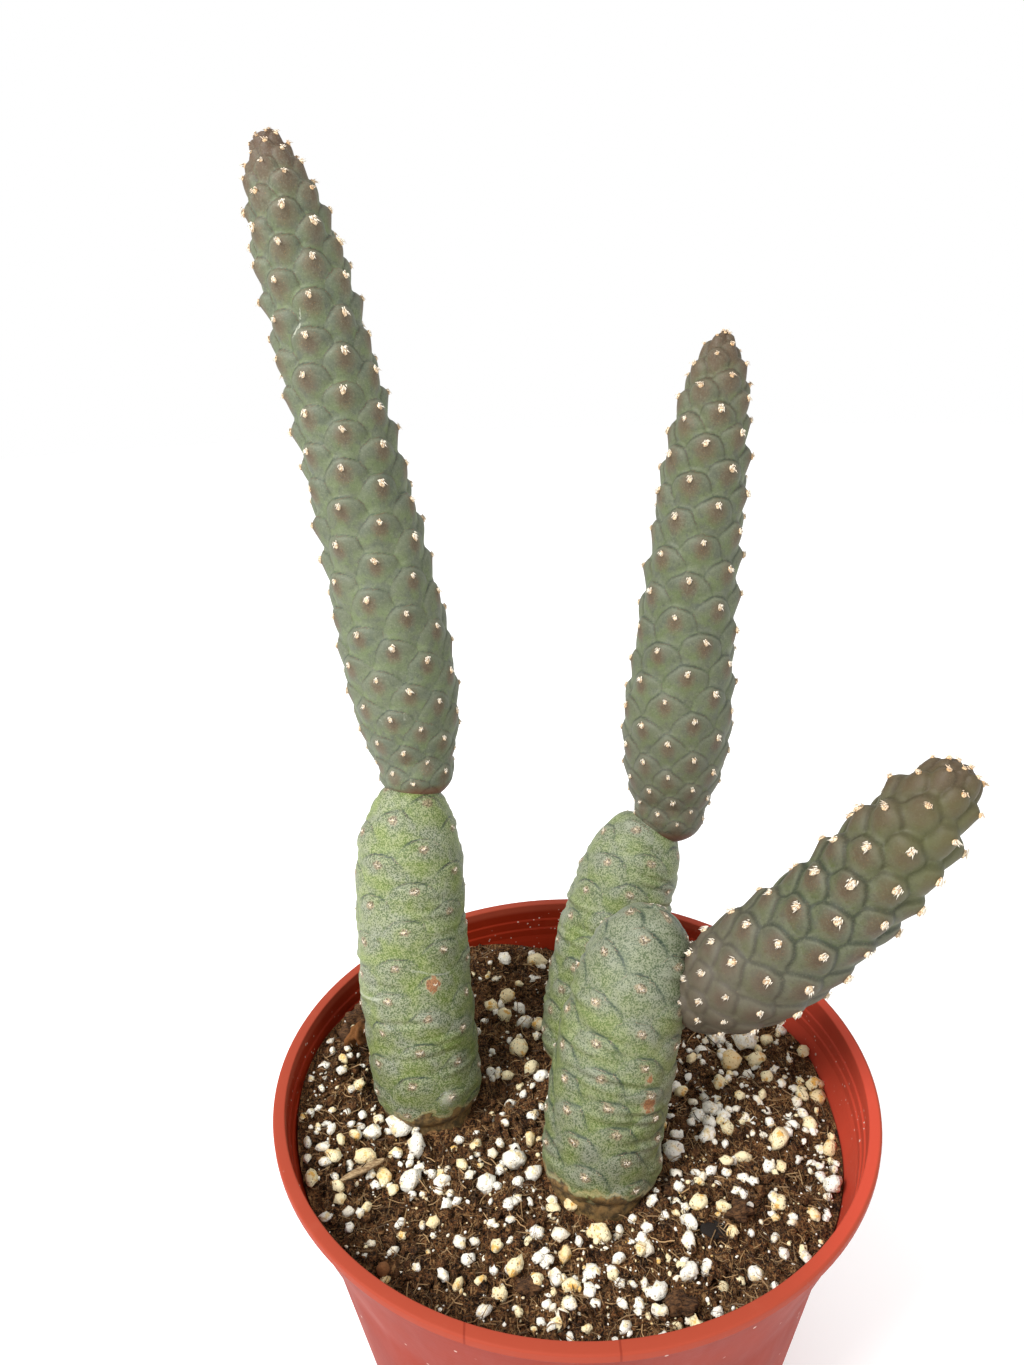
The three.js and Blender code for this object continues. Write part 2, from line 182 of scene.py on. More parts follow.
class Finish:
    """A material, one way to add any node to it, and the colour painted so far."""

    def __init__(self, name):
        self.material = bpy.data.materials.new(name)
        self.material.use_nodes = True
        self.tree = self.material.node_tree
        self.shader = self.tree.nodes["Principled BSDF"]
        self.colour = None

    def set(self, socket, value):
        if isinstance(value, Wire):
            self.tree.links.new(value.socket, socket)
        elif isinstance(value, tuple) and len(value) == 3 and socket.type == "RGBA":
            socket.default_value = (*value, 1)
        else:
            socket.default_value = value

    def add(self, kind, settings=None, values=None):
        node = self.tree.nodes.new(kind)
        for setting, value in (settings or {}).items():
            setattr(node, setting, value)
        pairs = values.items() if isinstance(values, dict) else enumerate(values or ())
        for key, value in pairs:
            self.set(node.inputs[key], value)
        return {out.name: Wire(self, out) for out in node.outputs if out.enabled}

    def place(self):
        return self.add("ShaderNodeTexCoord")["Object"]

    def measure(self, name):
        """A number stored on the mesh."""
        return self.add("ShaderNodeAttribute", {"attribute_name": name})["Fac"]

    def measures(self, names):
        return [self.measure(name) for name in names.split()]

    def noise(self, size, detail=3.0, stretch=None, rough=0.55, warp=0.0):
        """Cloudy noise whose patches are about `size` millimetres across."""
        place = self.place()
        if stretch:
            place = self.add("ShaderNodeMapping", {}, {"Vector": place, "Scale": stretch})["Vector"]
        values = {"Vector": place, "Scale": 1 / (size * MM), "Detail": detail, "Roughness": rough}
        return self.add("ShaderNodeTexNoise", {}, {**values, "Distortion": warp})["Fac"]

    def dots(self, spacing):
        """Distance from scattered points, 0 at each point."""
        values = {"Vector": self.place(), "Scale": 1 / (spacing * MM)}
        return self.add("ShaderNodeTexVoronoi", {}, values)["Distance"]

    def near(self, x, y, z):
        """Distance in millimetres from one place on the piece."""
        away = {0: self.place(), 1: Vector((x, y, z)) * MM}
        return self.add("ShaderNodeVectorMath", {"operation": "DISTANCE"}, away)["Value"] * (1 / MM)

    def stroke(self, start, end, depth):
        """Distance in millimetres from a straight line, seen from the front, near one depth y."""
        place = self.add("ShaderNodeSeparateXYZ", {}, {"Vector": self.place()})
        x, z = place["X"] * (1 / MM) - start[0], place["Z"] * (1 / MM) - start[1]
        run, climb = end[0] - start[0], end[1] - start[1]
        along = (x * run + z * climb).sum("DIVIDE", run * run + climb * climb, clamp=True)
        off_x, off_z = x - along * run, z - along * climb
        off_y = (place["Y"] * (1 / MM) - depth).sum("ABSOLUTE")
        return (off_x * off_x + off_z * off_z) ** 0.5 + off_y.step(4, 7) * 9

    def mix(self, mask, below, above, blend="MIX"):
        settings = {"data_type": "RGBA", "blend_type": blend}
        values = {0: mask, 6: below, 7: above}
        return self.add("ShaderNodeMix", settings, values)["Result"]

    def coat(self, mask, colour, blend="MIX"):
        """Lay one more colour over what is painted so far, as thick as the mask says."""
        self.colour = self.mix(mask, self.colour, colour, blend)

    def bump(self, height, depth):
        """Fine relief; depth in millimetres for a height that runs from 0 to 1."""
        values = {"Height": height, "Distance": depth * MM, "Strength": 1.0}
        self.set(self.shader.inputs["Normal"], self.add("ShaderNodeBump", {}, values)["Normal"])

    def surface(self, **values):
        for name, value in values.items():
            self.set(self.shader.inputs[name.replace("_", " ")], value)
        return self.material


def paint(red, green, blue):
    """A colour picked on screen, 0 to 255 a channel, as the light it stands for."""

    def light(value):
        value /= 255
        return value / 12.92 if value <= 0.04045 else ((value + 0.055) / 1.055) ** 2.4

    return (light(red), light(green), light(blue))


# %% Floor finish
floor_finish = Finish("white_floor")
floor_finish.surface(Base_Color=(0.97, 0.97, 0.97), Roughness=0.9)
floor_finish.surface(Emission_Color=(1.0, 1.0, 1.0), Emission_Strength=0.12)
floor.data.materials.append(floor_finish.material)


# %% [markdown]
# ## Making pieces
# Most round pieces are turned: a line of points is spun about the upright axis and its doubles are
# merged. `make_piece` turns a finished bmesh into an object that rides with the pot.


# %% Turning and making
def turned(outline, sides):
    """Spin a line of (radius, height) points in millimetres, which starts and ends on the axis."""
    made = bmesh.new()
    points = [made.verts.new((radius * MM, 0, height * MM)) for radius, height in outline]
    edges = [made.edges.new(pair) for pair in zip(points, points[1:])]
    bmesh.ops.spin(
        made,
        geom=points + edges,
        cent=(0, 0, 0),
        axis=(0, 0, 1),
        angle=math.tau,
        steps=sides,
        use_merge=True,
    )
    bmesh.ops.remove_doubles(made, verts=made.verts, dist=1e-6)
    bmesh.ops.recalc_face_normals(made, faces=made.faces)
    return made


def make_piece(name, made, finish, replaces=None, smooth=True, measures=None):
    """Turn a bmesh into a piece; measures are numbers kept on its points for the finish to read."""
    data = bpy.data.meshes.new(name)
    made.to_mesh(data)
    made.free()
    data.materials.append(finish.material)
    for key, values in (measures or {}).items():
        data.attributes.new(key, "FLOAT", "POINT").data.foreach_set("value", values)
    data.shade_smooth() if smooth else data.shade_flat()
    piece = bpy.data.objects.new(name, data)
    bpy.context.collection.objects.link(piece)
    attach(piece, "root")
    if replaces:
        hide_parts(replaces)
    triangles = sum(len(face.vertices) - 2 for face in data.polygons)
    print(name, "triangles", triangles)
    return piece


# %% [markdown]
# ## The pot
# A thin-walled moulding: flat foot, tapering body, a flared collar and a flat lip 3 mm wide. Two fine
# steps inside the collar let empty pots stack. The outline repeats the CAD sizes with rounded edges.

# %% Pot outline
POT_HEIGHT, RIM_RADIUS, LIP_WIDTH, WALL = 114, 77.5, 3, 1.25
COLLAR_Z, COLLAR_RADIUS, FOOT_RADIUS = 85, 68.3, 54
LIP_DEPTH, LIP_STEP = 2.4, 0.7  # height of the lip's outer band, and how far it stands out
BODY_SLOPE = (COLLAR_RADIUS - FOOT_RADIUS) / COLLAR_Z
FLARE_SLOPE = (RIM_RADIUS - LIP_STEP - COLLAR_RADIUS) / (POT_HEIGHT - LIP_DEPTH - COLLAR_Z)
FLOOR_THICK, PAD_RADIUS, DRAIN_RISE = 1.8, 32, 2.4
DRAIN_RING, DRAIN_RADIUS, DRAIN_COUNT = 42, 4.5, 8


def wall_radius(z):
    """Outside of the wall: the body up to the collar, then the flare."""
    if z < COLLAR_Z:
        return FOOT_RADIUS + BODY_SLOPE * z
    return COLLAR_RADIUS + FLARE_SLOPE * (z - COLLAR_Z)


def rounded(corners, steps=4):
    """Outline with each (radius, height, rounding) corner turned into a short arc."""
    outline = []
    for index, (x, z, size) in enumerate(corners):
        if size == 0:
            outline.append((x, z))
            continue
        here = Vector((x, z))
        before = Vector(corners[index - 1][:2])
        after = Vector(corners[index + 1][:2])
        start = here + (before - here).normalized() * size
        end = here + (after - here).normalized() * size
        for step in range(steps + 1):
            t = step / steps
            outline.append(tuple(start * (1 - t) ** 2 + here * 2 * t * (1 - t) + end * t * t))
    return outline


LIP_INSIDE = RIM_RADIUS - LIP_WIDTH
INNER_TOP = wall_radius(POT_HEIGHT - 12.5) - WALL
pot_corners = [
    (0, 0, 0),
    (PAD_RADIUS, 0, 0.5),
    (PAD_RADIUS + 2.4, DRAIN_RISE, 0.5),
    (49, DRAIN_RISE, 0.5),
    (51, 0, 0.4),
    (FOOT_RADIUS - 0.2, 0, 0.5),
    (wall_radius(2), 2, 0.8),
    (COLLAR_RADIUS, COLLAR_Z, 3),
    (RIM_RADIUS - LIP_STEP, POT_HEIGHT - LIP_DEPTH, 0.25),
    (RIM_RADIUS, POT_HEIGHT - 2.1, 0.2),
    (RIM_RADIUS, POT_HEIGHT, 0.55),
    (LIP_INSIDE, POT_HEIGHT, 0.4),
    (LIP_INSIDE - 0.25, POT_HEIGHT - 5.4, 0.2),
    (LIP_INSIDE - 0.75, POT_HEIGHT - 5.7, 0.2),
    (LIP_INSIDE - 0.95, POT_HEIGHT - 8.4, 0.2),
    (LIP_INSIDE - 1.4, POT_HEIGHT - 8.8, 0.2),
    (LIP_INSIDE - 1.6, POT_HEIGHT - 11, 0.2),
    (INNER_TOP, POT_HEIGHT - 12.5, 0.3),
    (COLLAR_RADIUS - WALL, COLLAR_Z, 3),
    (wall_radius(4.2) - WALL, 4.2, 1.2),
    (PAD_RADIUS + 1.6, 4.2, 0.5),
    (PAD_RADIUS - 0.8, FLOOR_THICK, 0.5),
    (0, FLOOR_THICK, 0),
]
pot_outline = rounded(pot_corners)
pot_mesh = turned(pot_outline, 160)
print("pot outline points", len(pot_outline))

# %% Drain holes
drills = bmesh.new()
for index in range(DRAIN_COUNT):
    angle = math.tau * (index + 0.5) / DRAIN_COUNT
    spot = Vector((DRAIN_RING * math.cos(angle), DRAIN_RING * math.sin(angle), 3)) * MM
    bmesh.ops.create_cone(
        drills,
        cap_ends=True,
        segments=32,
        radius1=DRAIN_RADIUS * MM,
        radius2=DRAIN_RADIUS * MM,
        depth=8 * MM,
        matrix=Matrix.Translation(spot),
    )


def cut(made, tools):
    """Take one closed bmesh out of another."""
    pair = []
    for part in (made, tools):
        data = bpy.data.meshes.new("part")
        part.to_mesh(data)
        part.free()
        pair.append(bpy.data.objects.new("part", data))
        bpy.context.collection.objects.link(pair[-1])
    body, tool = pair
    difference = body.modifiers.new("cut", "BOOLEAN")
    difference.object = tool
    difference.operation = "DIFFERENCE"
    bpy.context.view_layer.update()
    result = bmesh.new()
    result.from_mesh(body.evaluated_get(bpy.context.evaluated_depsgraph_get()).data)
    for part in pair:
        bpy.data.objects.remove(part)
    return result


pot_mesh = cut(pot_mesh, drills)
print("pot faces with drain holes", len(pot_mesh.faces))

# %% [markdown]
# ### Pot plastic
# Thin terracotta-red polypropylene. The lip is the cleanest part and is painted paler than the wall below,
# which is deeper in colour, with faint rings from the mould, dusty smears and a few white specks of
# hard water. The inside of the wall is painted brighter at the right: painted light where the lamp
# falls on it.

# %% Pot finish
pot_finish = Finish("terracotta_plastic")
pot_place = pot_finish.add("ShaderNodeSeparateXYZ", {}, {"Vector": pot_finish.place()})
pot_x, pot_y, pot_height = (pot_place[axis] * (1 / MM) for axis in "XYZ")
clouds = pot_finish.noise(26, 4)
smears = pot_finish.noise(7, 5, stretch=(1, 1, 0.25))
lip_share = pot_height.step(POT_HEIGHT - 3.2, POT_HEIGHT - 1.6)
pot_finish.colour = pot_finish.mix(clouds.step(0.35, 0.7), paint(122, 31, 11), paint(132, 37, 15))
# The lip is painted paler than the wall below.
pot_finish.coat(lip_share, paint(146, 60, 42))
pot_finish.coat(smears.step(0.52, 0.8) * 0.05, paint(180, 112, 92))
across_pot = (pot_x * pot_x + pot_y * pot_y) ** 0.5
inside = (across_pot - (pot_height - COLLAR_Z) * FLARE_SLOPE - COLLAR_RADIUS).step(-0.4, -0.9)
# Painted light: the inside of the wall is painted brighter at the right, where the lamp falls on it.
pot_finish.coat(inside * pot_x.step(30, 70) * 0.85, paint(184, 68, 50))  # lit through, at the right

# %% Marks on the pot
specks = pot_finish.dots(5).step(0.1, 0.05) * pot_finish.noise(14, 2).step(0.5, 0.6)
specks = specks * (1 - lip_share * pot_y.step(-20, -40))
dust = pot_finish.dots(1.7).step(0.2, 0.1) * pot_finish.noise(10, 3).step(0.5, 0.62)
specks = specks.sum("MAXIMUM", dust * inside * (1 - lip_share))
pot_finish.coat(specks * 0.8, paint(214, 198, 186))
seam_off = (pot_x + 25.9).sum("ABSOLUTE").sum("MINIMUM", (pot_x - 4.1).sum("ABSOLUTE"))
mould_seam = seam_off.step(0.35, 0.1) * lip_share * pot_y.step(0, -10)
pot_finish.coat(mould_seam * 0.6, paint(110, 34, 22))
rings = pot_finish.noise(1.4, 2, stretch=(0.02, 0.02, 1))
grain = pot_finish.noise(0.5, 2)
pot_finish.bump(rings * 0.5 + grain * 0.3 + specks * 0.6, 0.06)
pot_finish.surface(Base_Color=pot_finish.colour, Roughness=smears * 0.25 + 0.42)
pot_finish.surface(Specular_IOR_Level=0.07)
make_piece("flowerpot", pot_mesh, pot_finish, replaces="pot")

# %% [markdown]
# ## Segments
# A segment is a bent bar. Its axis is a quadratic curve and its thickness a formula, both the same
# as in the CAD source but for slimmer tips. The scales follow a spiral: each tuft sits about 137
# degrees past the last one and a little higher, which gives the crossing rows of a pinecone.

# %% Stem sizes
# path: foot, bend and head of the axis. girth: radius at the foot and the head, what the belly adds,
# how long the rounding at foot and head is, and with what share of the radius each begins. rise and
# twist: how much eight tufts climb and turn past three rounds, at heights along the segment. start:
# height and angle of one tuft. tip: radius at the very top, what it swells by, and over what length.
STEMS = {
    "left": {
        "lower": dict(
            path=[(-38.2, 5.7, 95.4), (-44.5, 19, 140.9), (-40.6, 32.2, 182.3)],
            girth=(14.7, 13.4, 1.1, 11.4, 23.9, 0.74, 0.25),
            rise=[(5, 8.5), (25, 8.6), (45, 8.9), (65, 10.8), (90, 11.7)],
            twist=[(5, 14), (25, 11), (65, 11), (90, 12)],
            start=(60.4, 231),
            hand=1,
            folds=0.6,
        ),
        "upper": dict(
            path=[(-38.7, 31.6, 180.6), (-41.7, 47.9, 223.6), (-65.7, 50.4, 341)],
            girth=(18.6, 10.8, -1, 70, 34.4, 0, 0.36),
            rise=[(5, 5.5), (30, 7.1), (60, 9.4), (95, 8.9), (125, 8.4), (153, 6.8), (163, 3.2)],
            twist=[(5, 24.5), (30, 24.3), (60, 15.4), (95, 10.5), (125, 15.4), (155, 17.4)],
            start=(69.3, 240),
            hand=1,
            tip=(2.9, 9.3, 13.5),
        ),
    },
    "back": {
        "lower": dict(
            path=[(7, 22, 94.6), (8.4, 32.2, 123.1), (26.9, 45.7, 160.9)],
            girth=(14.6, 14.3, 0.5, 10.4, 20.3, 0.65, 0.36),
            rise=[(15, 6.3), (35, 7.4), (55, 9.6), (70, 11.9)],
            twist=[(15, 11.6), (35, 11.9), (55, 13.1), (70, 13.9)],
            start=(41.1, 206),
            hand=1,
        ),
        "upper": dict(
            path=[(31.7, 43.6, 158.5), (41, 67.8, 244), (47.4, 66.3, 294)],
            girth=(18.3, 12.3, -2.5, 32.3, 59.7, 0, 0.09),
            rise=[(10, 4), (25, 6.3), (45, 8.6), (70, 10.8), (100, 10.2), (130, 8.5), (142, 5)],
            twist=[(10, 21), (25, 27), (45, 18.5), (70, 10.2), (100, 12.9), (135, 14.1)],
            start=(34.2, 276.6),
            hand=1,
            tip=(1.8, 10.4, 12.5),
        ),
    },
    "front": {
        "lower": dict(
            path=[(5.7, -19.4, 95.4), (8.5, -8.6, 128.2), (22.6, 1.8, 159.3)],
            girth=(14.6, 13.2, 1.2, 4.1, 20.2, 0.89, 0.18),
            rise=[(5, 8.4), (20, 5.8), (35, 7.2), (50, 11.3), (65, 9.3)],
            twist=[(5, 15), (20, 11), (35, 11), (50, 12.3), (65, 12.3)],
            start=(26.4, 213),
            hand=-1,
            shift=0.22,
        ),
        "upper": dict(
            path=[(28.8, -6, 138.4), (56.4, -18, 158.3), (80.7, -23.5, 207.9)],
            girth=(18.8, 11.6, -2.4, 43.8, 29.3, 0.11, 0.32),
            rise=[(10, 4), (25, 7.5), (40, 8.7), (60, 8), (80, 9.8), (92, 4)],
            twist=[(10, 22), (25, 22.4), (40, 15), (60, 14), (85, 16.8)],
            start=(28.4, 235.4),
            hand=-1,
            tip=(4.2, 7.6, 9.5),
            wide=0.98,
            sides=0.9,
            melt=0.3,
            tuft_size=1.28,
        ),
    },
}

# %% Sizes that all segments share
# wide: width of a scale over its height. sides: strength of a crease beside a scale, where 1 is above
# it. shift: how far right of its tuft a crease is strongest. melt: how softly the mounds run together.
SCALE_LOOKS = {  # a segment has these unless its own sizes say otherwise
    "upper": dict(wide=1.15, sides=0.45, melt=0.28, shift=0, folds=1, tuft_size=1),
    "lower": dict(wide=1.3, sides=0.15, melt=0.28, shift=0, folds=1, tuft_size=1),
}
NECK_DEPTH, HEEL_RADIUS, HEEL_LENGTH = 3.5, 10.2, 8.5  # foot of an upper segment, on its neck
HEEL_END = 25  # by this height the body has grown thicker than the heel
ROOT_RADIUS, ROOT_DEPTH, ROOT_LENGTH = 8.5, 8, 18
TIP_RISE, TIP_ARC = 1.0, 4.0  # how high the closing cap is, and the way over it
LEAN_LENGTH, LEAN_MOST = 7, math.radians(75)  # scales at the tip turn from outward to forward
SLIM_START, SLIM_FULL = 40, 15  # distances below the top between which the tip's own girth takes over
RUN, THREE_ROUNDS = 8, 1080  # a run of eight tufts goes round three times and a little more
SPARE_BELOW, SPARE_ABOVE = 16, 14  # the spiral runs on past both ends


# %% Axis and spiral
class Segment:
    """Axis, thickness and spiral of one segment; arrays of heights s in, arrays of places out."""

    def __init__(self, level, path, girth, rise, twist, start, hand, tip=None, **look):
        self.level = level
        self.slot = "new_growth" if level == "upper" else "old_growth"
        self.path = [np.array(point, float) for point in path]
        self.girth = girth
        self.tip = tip
        self.look = {**SCALE_LOOKS[level], **look}
        self.steps = np.linspace(0, 1, 401)
        places = self.curve(self.steps)
        legs = np.linalg.norm(np.diff(places, axis=0), axis=1)
        self.reach = np.concatenate([[0], np.cumsum(legs)])
        self.length = self.reach[-1]
        self.heights, self.angles = self.spiral(rise, twist, start, hand)
        self.luck = np.random.default_rng(5).random(len(self.heights))

    def curve(self, t):
        t = np.asarray(t)[:, None]
        low, bend, high = self.path
        return (1 - t) ** 2 * low + 2 * t * (1 - t) * bend + t * t * high

    def frames(self, s):
        """Centre and the directions forward, right and back at each height."""
        inside = np.clip(s, 0, self.length)
        t = np.interp(inside, self.reach, self.steps)
        low, bend, high = self.path
        forward = (1 - t)[:, None] * (bend - low) + t[:, None] * (high - bend)
        forward /= np.linalg.norm(forward, axis=1)[:, None]
        right = np.array([1.0, 0, 0]) - forward * forward[:, :1]
        right /= np.linalg.norm(right, axis=1)[:, None]
        over = TIP_RISE * np.sin(np.clip((s - self.length) / TIP_ARC, 0, 1) * math.pi / 2)
        centre = self.curve(t) + forward * (np.minimum(s, 0) + over)[:, None]
        return centre, forward, right, np.cross(forward, right)

    def lean(self, s):
        """How far scales turn from outward to forward, which they do at the tip only."""
        near = np.clip((s - self.length + LEAN_LENGTH) / (LEAN_LENGTH + TIP_ARC), 0, 1)
        return LEAN_MOST * near * near * (3 - 2 * near)

    def radius(self, s):
        """Thickness at each height, without the scales."""
        low, high, belly, foot, head, foot_share, head_share = self.girth
        t = np.interp(np.clip(s, 0, self.length), self.reach, self.steps)
        body = low + (high - low) * t + belly * 4 * t * (1 - t)

        def rounding(distance, length):
            return np.sqrt(1 - (1 - np.clip(distance / length, 0, 1)) ** 2)

        body *= foot_share + (1 - foot_share) * rounding(t * self.length, foot)
        body *= head_share + (1 - head_share) * rounding((1 - t) * self.length, head)
        if self.tip:
            top, swell, taper = self.tip
            below = np.maximum(self.length - s, 0)
            slim = np.minimum(body, top + swell * (1 - np.exp(-below / taper)))
            body += (slim - body) * np.clip((SLIM_START - below) / (SLIM_START - SLIM_FULL), 0, 1)
        body *= np.cos(np.clip((s - self.length) / TIP_ARC, 0, 1) * math.pi / 2)
        if self.level == "upper":
            up = np.clip((s + NECK_DEPTH) / HEEL_LENGTH, 0, 1)
            heel = HEEL_RADIUS * np.sqrt(np.clip(1 - (1 - up) ** 2, 0.0004, 1))
            return np.where(s < HEEL_END, np.maximum(np.where(s < 0, 0, body), heel), body)
        return np.where(s < 0, body + (ROOT_RADIUS - body) * -s / ROOT_LENGTH, body)

    def spiral(self, rise, twist, start, hand):
        """Height and angle of every tuft, from below the foot to past the tip."""

        def pace(s):
            return [float(np.interp(s, *zip(*knots))) for knots in (rise, twist)]

        def following(tuft, way):
            s, angle = tuft
            climb, more = pace(s)
            return s + way * climb / RUN, angle + way * hand * (THREE_ROUNDS + more) / RUN

        tufts = [start]
        while tufts[0][0] > -SPARE_BELOW:
            tufts.insert(0, following(tufts[0], -1))
        while tufts[-1][0] < self.length + SPARE_ABOVE:
            tufts.append(following(tufts[-1], 1))
        return np.array(tufts).T


segments = {
    f"{place}_{level}": Segment(level, **sizes)
    for place, stem in STEMS.items()
    for level, sizes in stem.items()
}
for name, segment in segments.items():
    print(name, "length", round(segment.length, 1), "tufts", len(segment.heights))

# %% [markdown]
# ### Scales
# Each scale is a low mound, highest at its tuft: it rises slowly from below and drops in an arch just
# above the tuft, like a tile on a roof. The mounds run softly together, and the arches between them
# are thin creases. How far a point lies from its tuft and from the crease is kept on the mesh, for
# the colours.

# %% Mounds
SCALES = {
    "upper": dict(height=1.4, crease=0.16, nub=0.7, middle=0.33),
    "lower": dict(height=0.55, crease=0.16, nub=0.15, middle=0.35),
}
# In shares of the spacing between tufts: size of a scale, how far its middle lies under its tuft,
# and how much it tilts out towards its top. A sharp edge draws the arches, a soft one the mounds.
REACH, LOW, TILT = 0.56, 0.4, 2.0
SHARP_EDGE, SOFT_EDGE = 6, 3
CREASE_WIDTH, NUB_WIDTH = 0.35, 1.3
NUDGE, LEAST_RADIUS = 0.1, 1.5  # step for measuring slopes, and the radius below which angles lose sense
HOPS = np.arange(-17, 18)[:, None]  # neighbours that can reach a point, counted along the spiral


def mounds(segment, s, angle, radius, edge):
    """Each near scale at each point: which it is, its height there, and where its tuft is."""
    radius = np.maximum(radius, LEAST_RADIUS)
    heights, angles = segment.heights, segment.angles
    order = np.arange(len(heights))
    rise = np.interp(s, heights, np.gradient(heights))
    span = np.sqrt(math.tau * radius * np.maximum(rise, 0.4))
    near = np.rint(np.interp(s, heights, order)).astype(int)
    k = np.clip(near + HOPS, 0, len(heights) - 1)
    above = s - heights[k]
    across = np.radians((angle - angles[k] + 180) % 360 - 180) * radius
    turn_by = np.radians(angle)
    sway = 0.22 * (np.sin(0.8 * s - 2 * turn_by + 2) + np.sin(0.5 * s + 3 * turn_by + 4))
    dip = 0.22 * (np.sin(0.9 * s + 2 * turn_by + 1) + np.sin(0.55 * s - 3 * turn_by))
    far = np.hypot((across + sway) / (segment.look["wide"] * span), (above + dip) / span + LOW) / REACH
    mound = 1 - np.minimum(far, 4) ** edge + TILT * above / span + 0.2 * (segment.luck[k] - 0.5)
    return k, np.where(k == near + HOPS, mound, -999.0), across, above, span


def front_scale(segment, s, angle, radius):
    """The scale in front and the one behind it, as rows of the neighbours, and by how much it leads."""
    k, mound, across, above, span = mounds(segment, s, angle, radius, SHARP_EDGE)
    points = np.arange(len(s))
    first = mound.argmax(axis=0)
    lead = mound[first, points]
    mound[first, points] = -9999.0
    second = mound.argmax(axis=0)
    return lead - mound[second, points], first, second, k, across, above, span


def scales(segment, s, angle, radius):
    """Lift of the skin over the plain bar, and where each point lies on its scale."""
    size = SCALES[segment.level]
    lead, first, second, k, across, above, span = front_scale(segment, s, angle, radius)
    nudge_angle = np.degrees(NUDGE / np.maximum(radius, LEAST_RADIUS))
    up = front_scale(segment, s + NUDGE, angle, radius)[0] - lead
    side = front_scale(segment, s, angle + nudge_angle, radius)[0] - lead
    crease = lead / np.maximum(np.hypot(up, side) / NUDGE, 0.3)
    points = np.arange(len(s))
    lower = np.where(k[first, points] < k[second, points], first, second)
    off = np.abs(across[lower, points] / span - segment.look["shift"])
    seam = np.interp(off, [0.3, 0.62], [1, segment.look["sides"]])
    seam = seam * (0.7 + 0.3 * segment.luck[k[lower, points]])
    owner, across, above = k[first, points], across[first, points], above[first, points]
    melt = segment.look["melt"]
    soft = mounds(segment, s, angle, radius, SOFT_EDGE)[1] / melt
    crest = soft.max(axis=0)
    melted = melt * (crest + np.log(np.exp(soft - crest).sum(axis=0)))
    lift = size["height"] * (np.maximum(melted, -0.8) - size["middle"])
    lift -= size["crease"] * seam * np.exp(-((crease / CREASE_WIDTH) ** 2))
    lift += size["nub"] * np.exp(-np.hypot(across, above + 0.2) / NUB_WIDTH)
    return lift * np.clip(span / 8, 0.3, 1), across, above, crease, seam, owner


def wrinkles(s, angle):
    """Shallow furrows that run round an old segment, as a sum of a few slanting waves."""
    waves = [(1.9, 1, 0.3), (1.25, -2, 2.1), (0.83, 3, 4.0), (2.6, -1, 1.2), (0.6, 2, 5.1)]
    total = sum(np.sin(pace * s + turns * np.radians(angle) + start) for pace, turns, start in waves)
    return 0.075 * total * (1 + np.sin(0.17 * s + 2 * np.radians(angle)))


def fade(segment, s):
    """Scales are low near the foot of a segment, full from the middle on, and shrink at the tip."""
    below = segment.length + TIP_ARC - s
    if segment.level == "lower":
        return np.clip((s + 1) / 5, 0, 1) * np.clip(below / 9, 0, 1) ** 0.7
    return np.interp(s, [0, 3, 25, 45, 80], [0, 0.3, 0.5, 0.68, 1]) * np.clip(below / 4, 0, 1) ** 0.6


def waves(s, angle):
    """Slow swellings, a fifth of a millimetre deep, that keep a segment from looking turned."""
    turns = [(0.31, 1, 0), (0.19, -2, 1), (0.47, 3, 0)]
    return 0.12 * sum(np.sin(pace * s + times * np.radians(angle) + start) for pace, times, start in turns)


# %% Skin mesh
RINGS_APART = {"upper": 0.48, "lower": 0.5}
FACE_SHAPE = 1.15  # width of a face over its height
FIRST_RING, LAST_GAP, CAP_RING = 0.15, 0.3, 0.1  # where the rings begin, stop and close
SHADES = {"left": 0.0, "back": 0.35, "front": 1.0}  # the front stem is the darkest


def points_of(data):
    """The x, y and z of a mesh's points, in millimetres."""
    flat = np.empty(len(data.vertices) * 3)
    data.vertices.foreach_get("co", flat)
    return (flat.reshape(-1, 3) / MM).T


def skin(name, segment):
    """Spin an upright bar of rings, then bend it along the axis and raise its scales."""
    depth = NECK_DEPTH if segment.level == "upper" else ROOT_DEPTH
    rings_apart = RINGS_APART[segment.level]
    top = segment.length + TIP_ARC
    rings = np.arange(FIRST_RING - depth, top - LAST_GAP, rings_apart)
    stations = [-depth, *rings, top - CAP_RING, top]
    outline = [(0, stations[0])] + [(1, s) for s in stations[:-1]] + [(0, top)]
    sides = 4 * round(math.tau * max(segment.girth[:2]) / rings_apart / (4 * FACE_SHAPE))
    made = turned(outline, sides)
    data = bpy.data.meshes.new("bar")
    made.to_mesh(data)
    made.free()
    x, y, s = points_of(data)
    angle = np.degrees(np.arctan2(y, x))
    share = np.hypot(x, y)
    radius = segment.radius(s)
    lift, across, above, crease, seam, owner = scales(segment, s, angle, radius)
    if segment.level == "lower":
        lift = lift + wrinkles(s, angle) * segment.look["folds"]
    lift = (lift + waves(s, angle)) * fade(segment, s) * np.where(s < top - 0.01, share, 1)
    lean = segment.lean(s)
    centre, forward, right, back = segment.frames(s)
    turn_by = np.radians(angle)[:, None]
    out = np.cos(turn_by) * right + np.sin(turn_by) * back
    places = centre + forward * (lift * np.sin(lean))[:, None]
    places += out * (share * np.maximum(radius + lift * np.cos(lean), 0))[:, None]
    data.vertices.foreach_set("co", (places * MM).ravel())
    made = bmesh.new()
    made.from_mesh(data)
    bpy.data.meshes.remove(data)
    measures = dict(across=across, above=above, crease=crease, seam=seam, climb=s)
    measures["luck"] = segment.luck[owner]
    measures["to_tip"] = segment.length - s
    measures["shade"] = np.full(len(s), SHADES[name.split("_")[0]])
    return made, {key: values.astype(np.float32) for key, values in measures.items()}
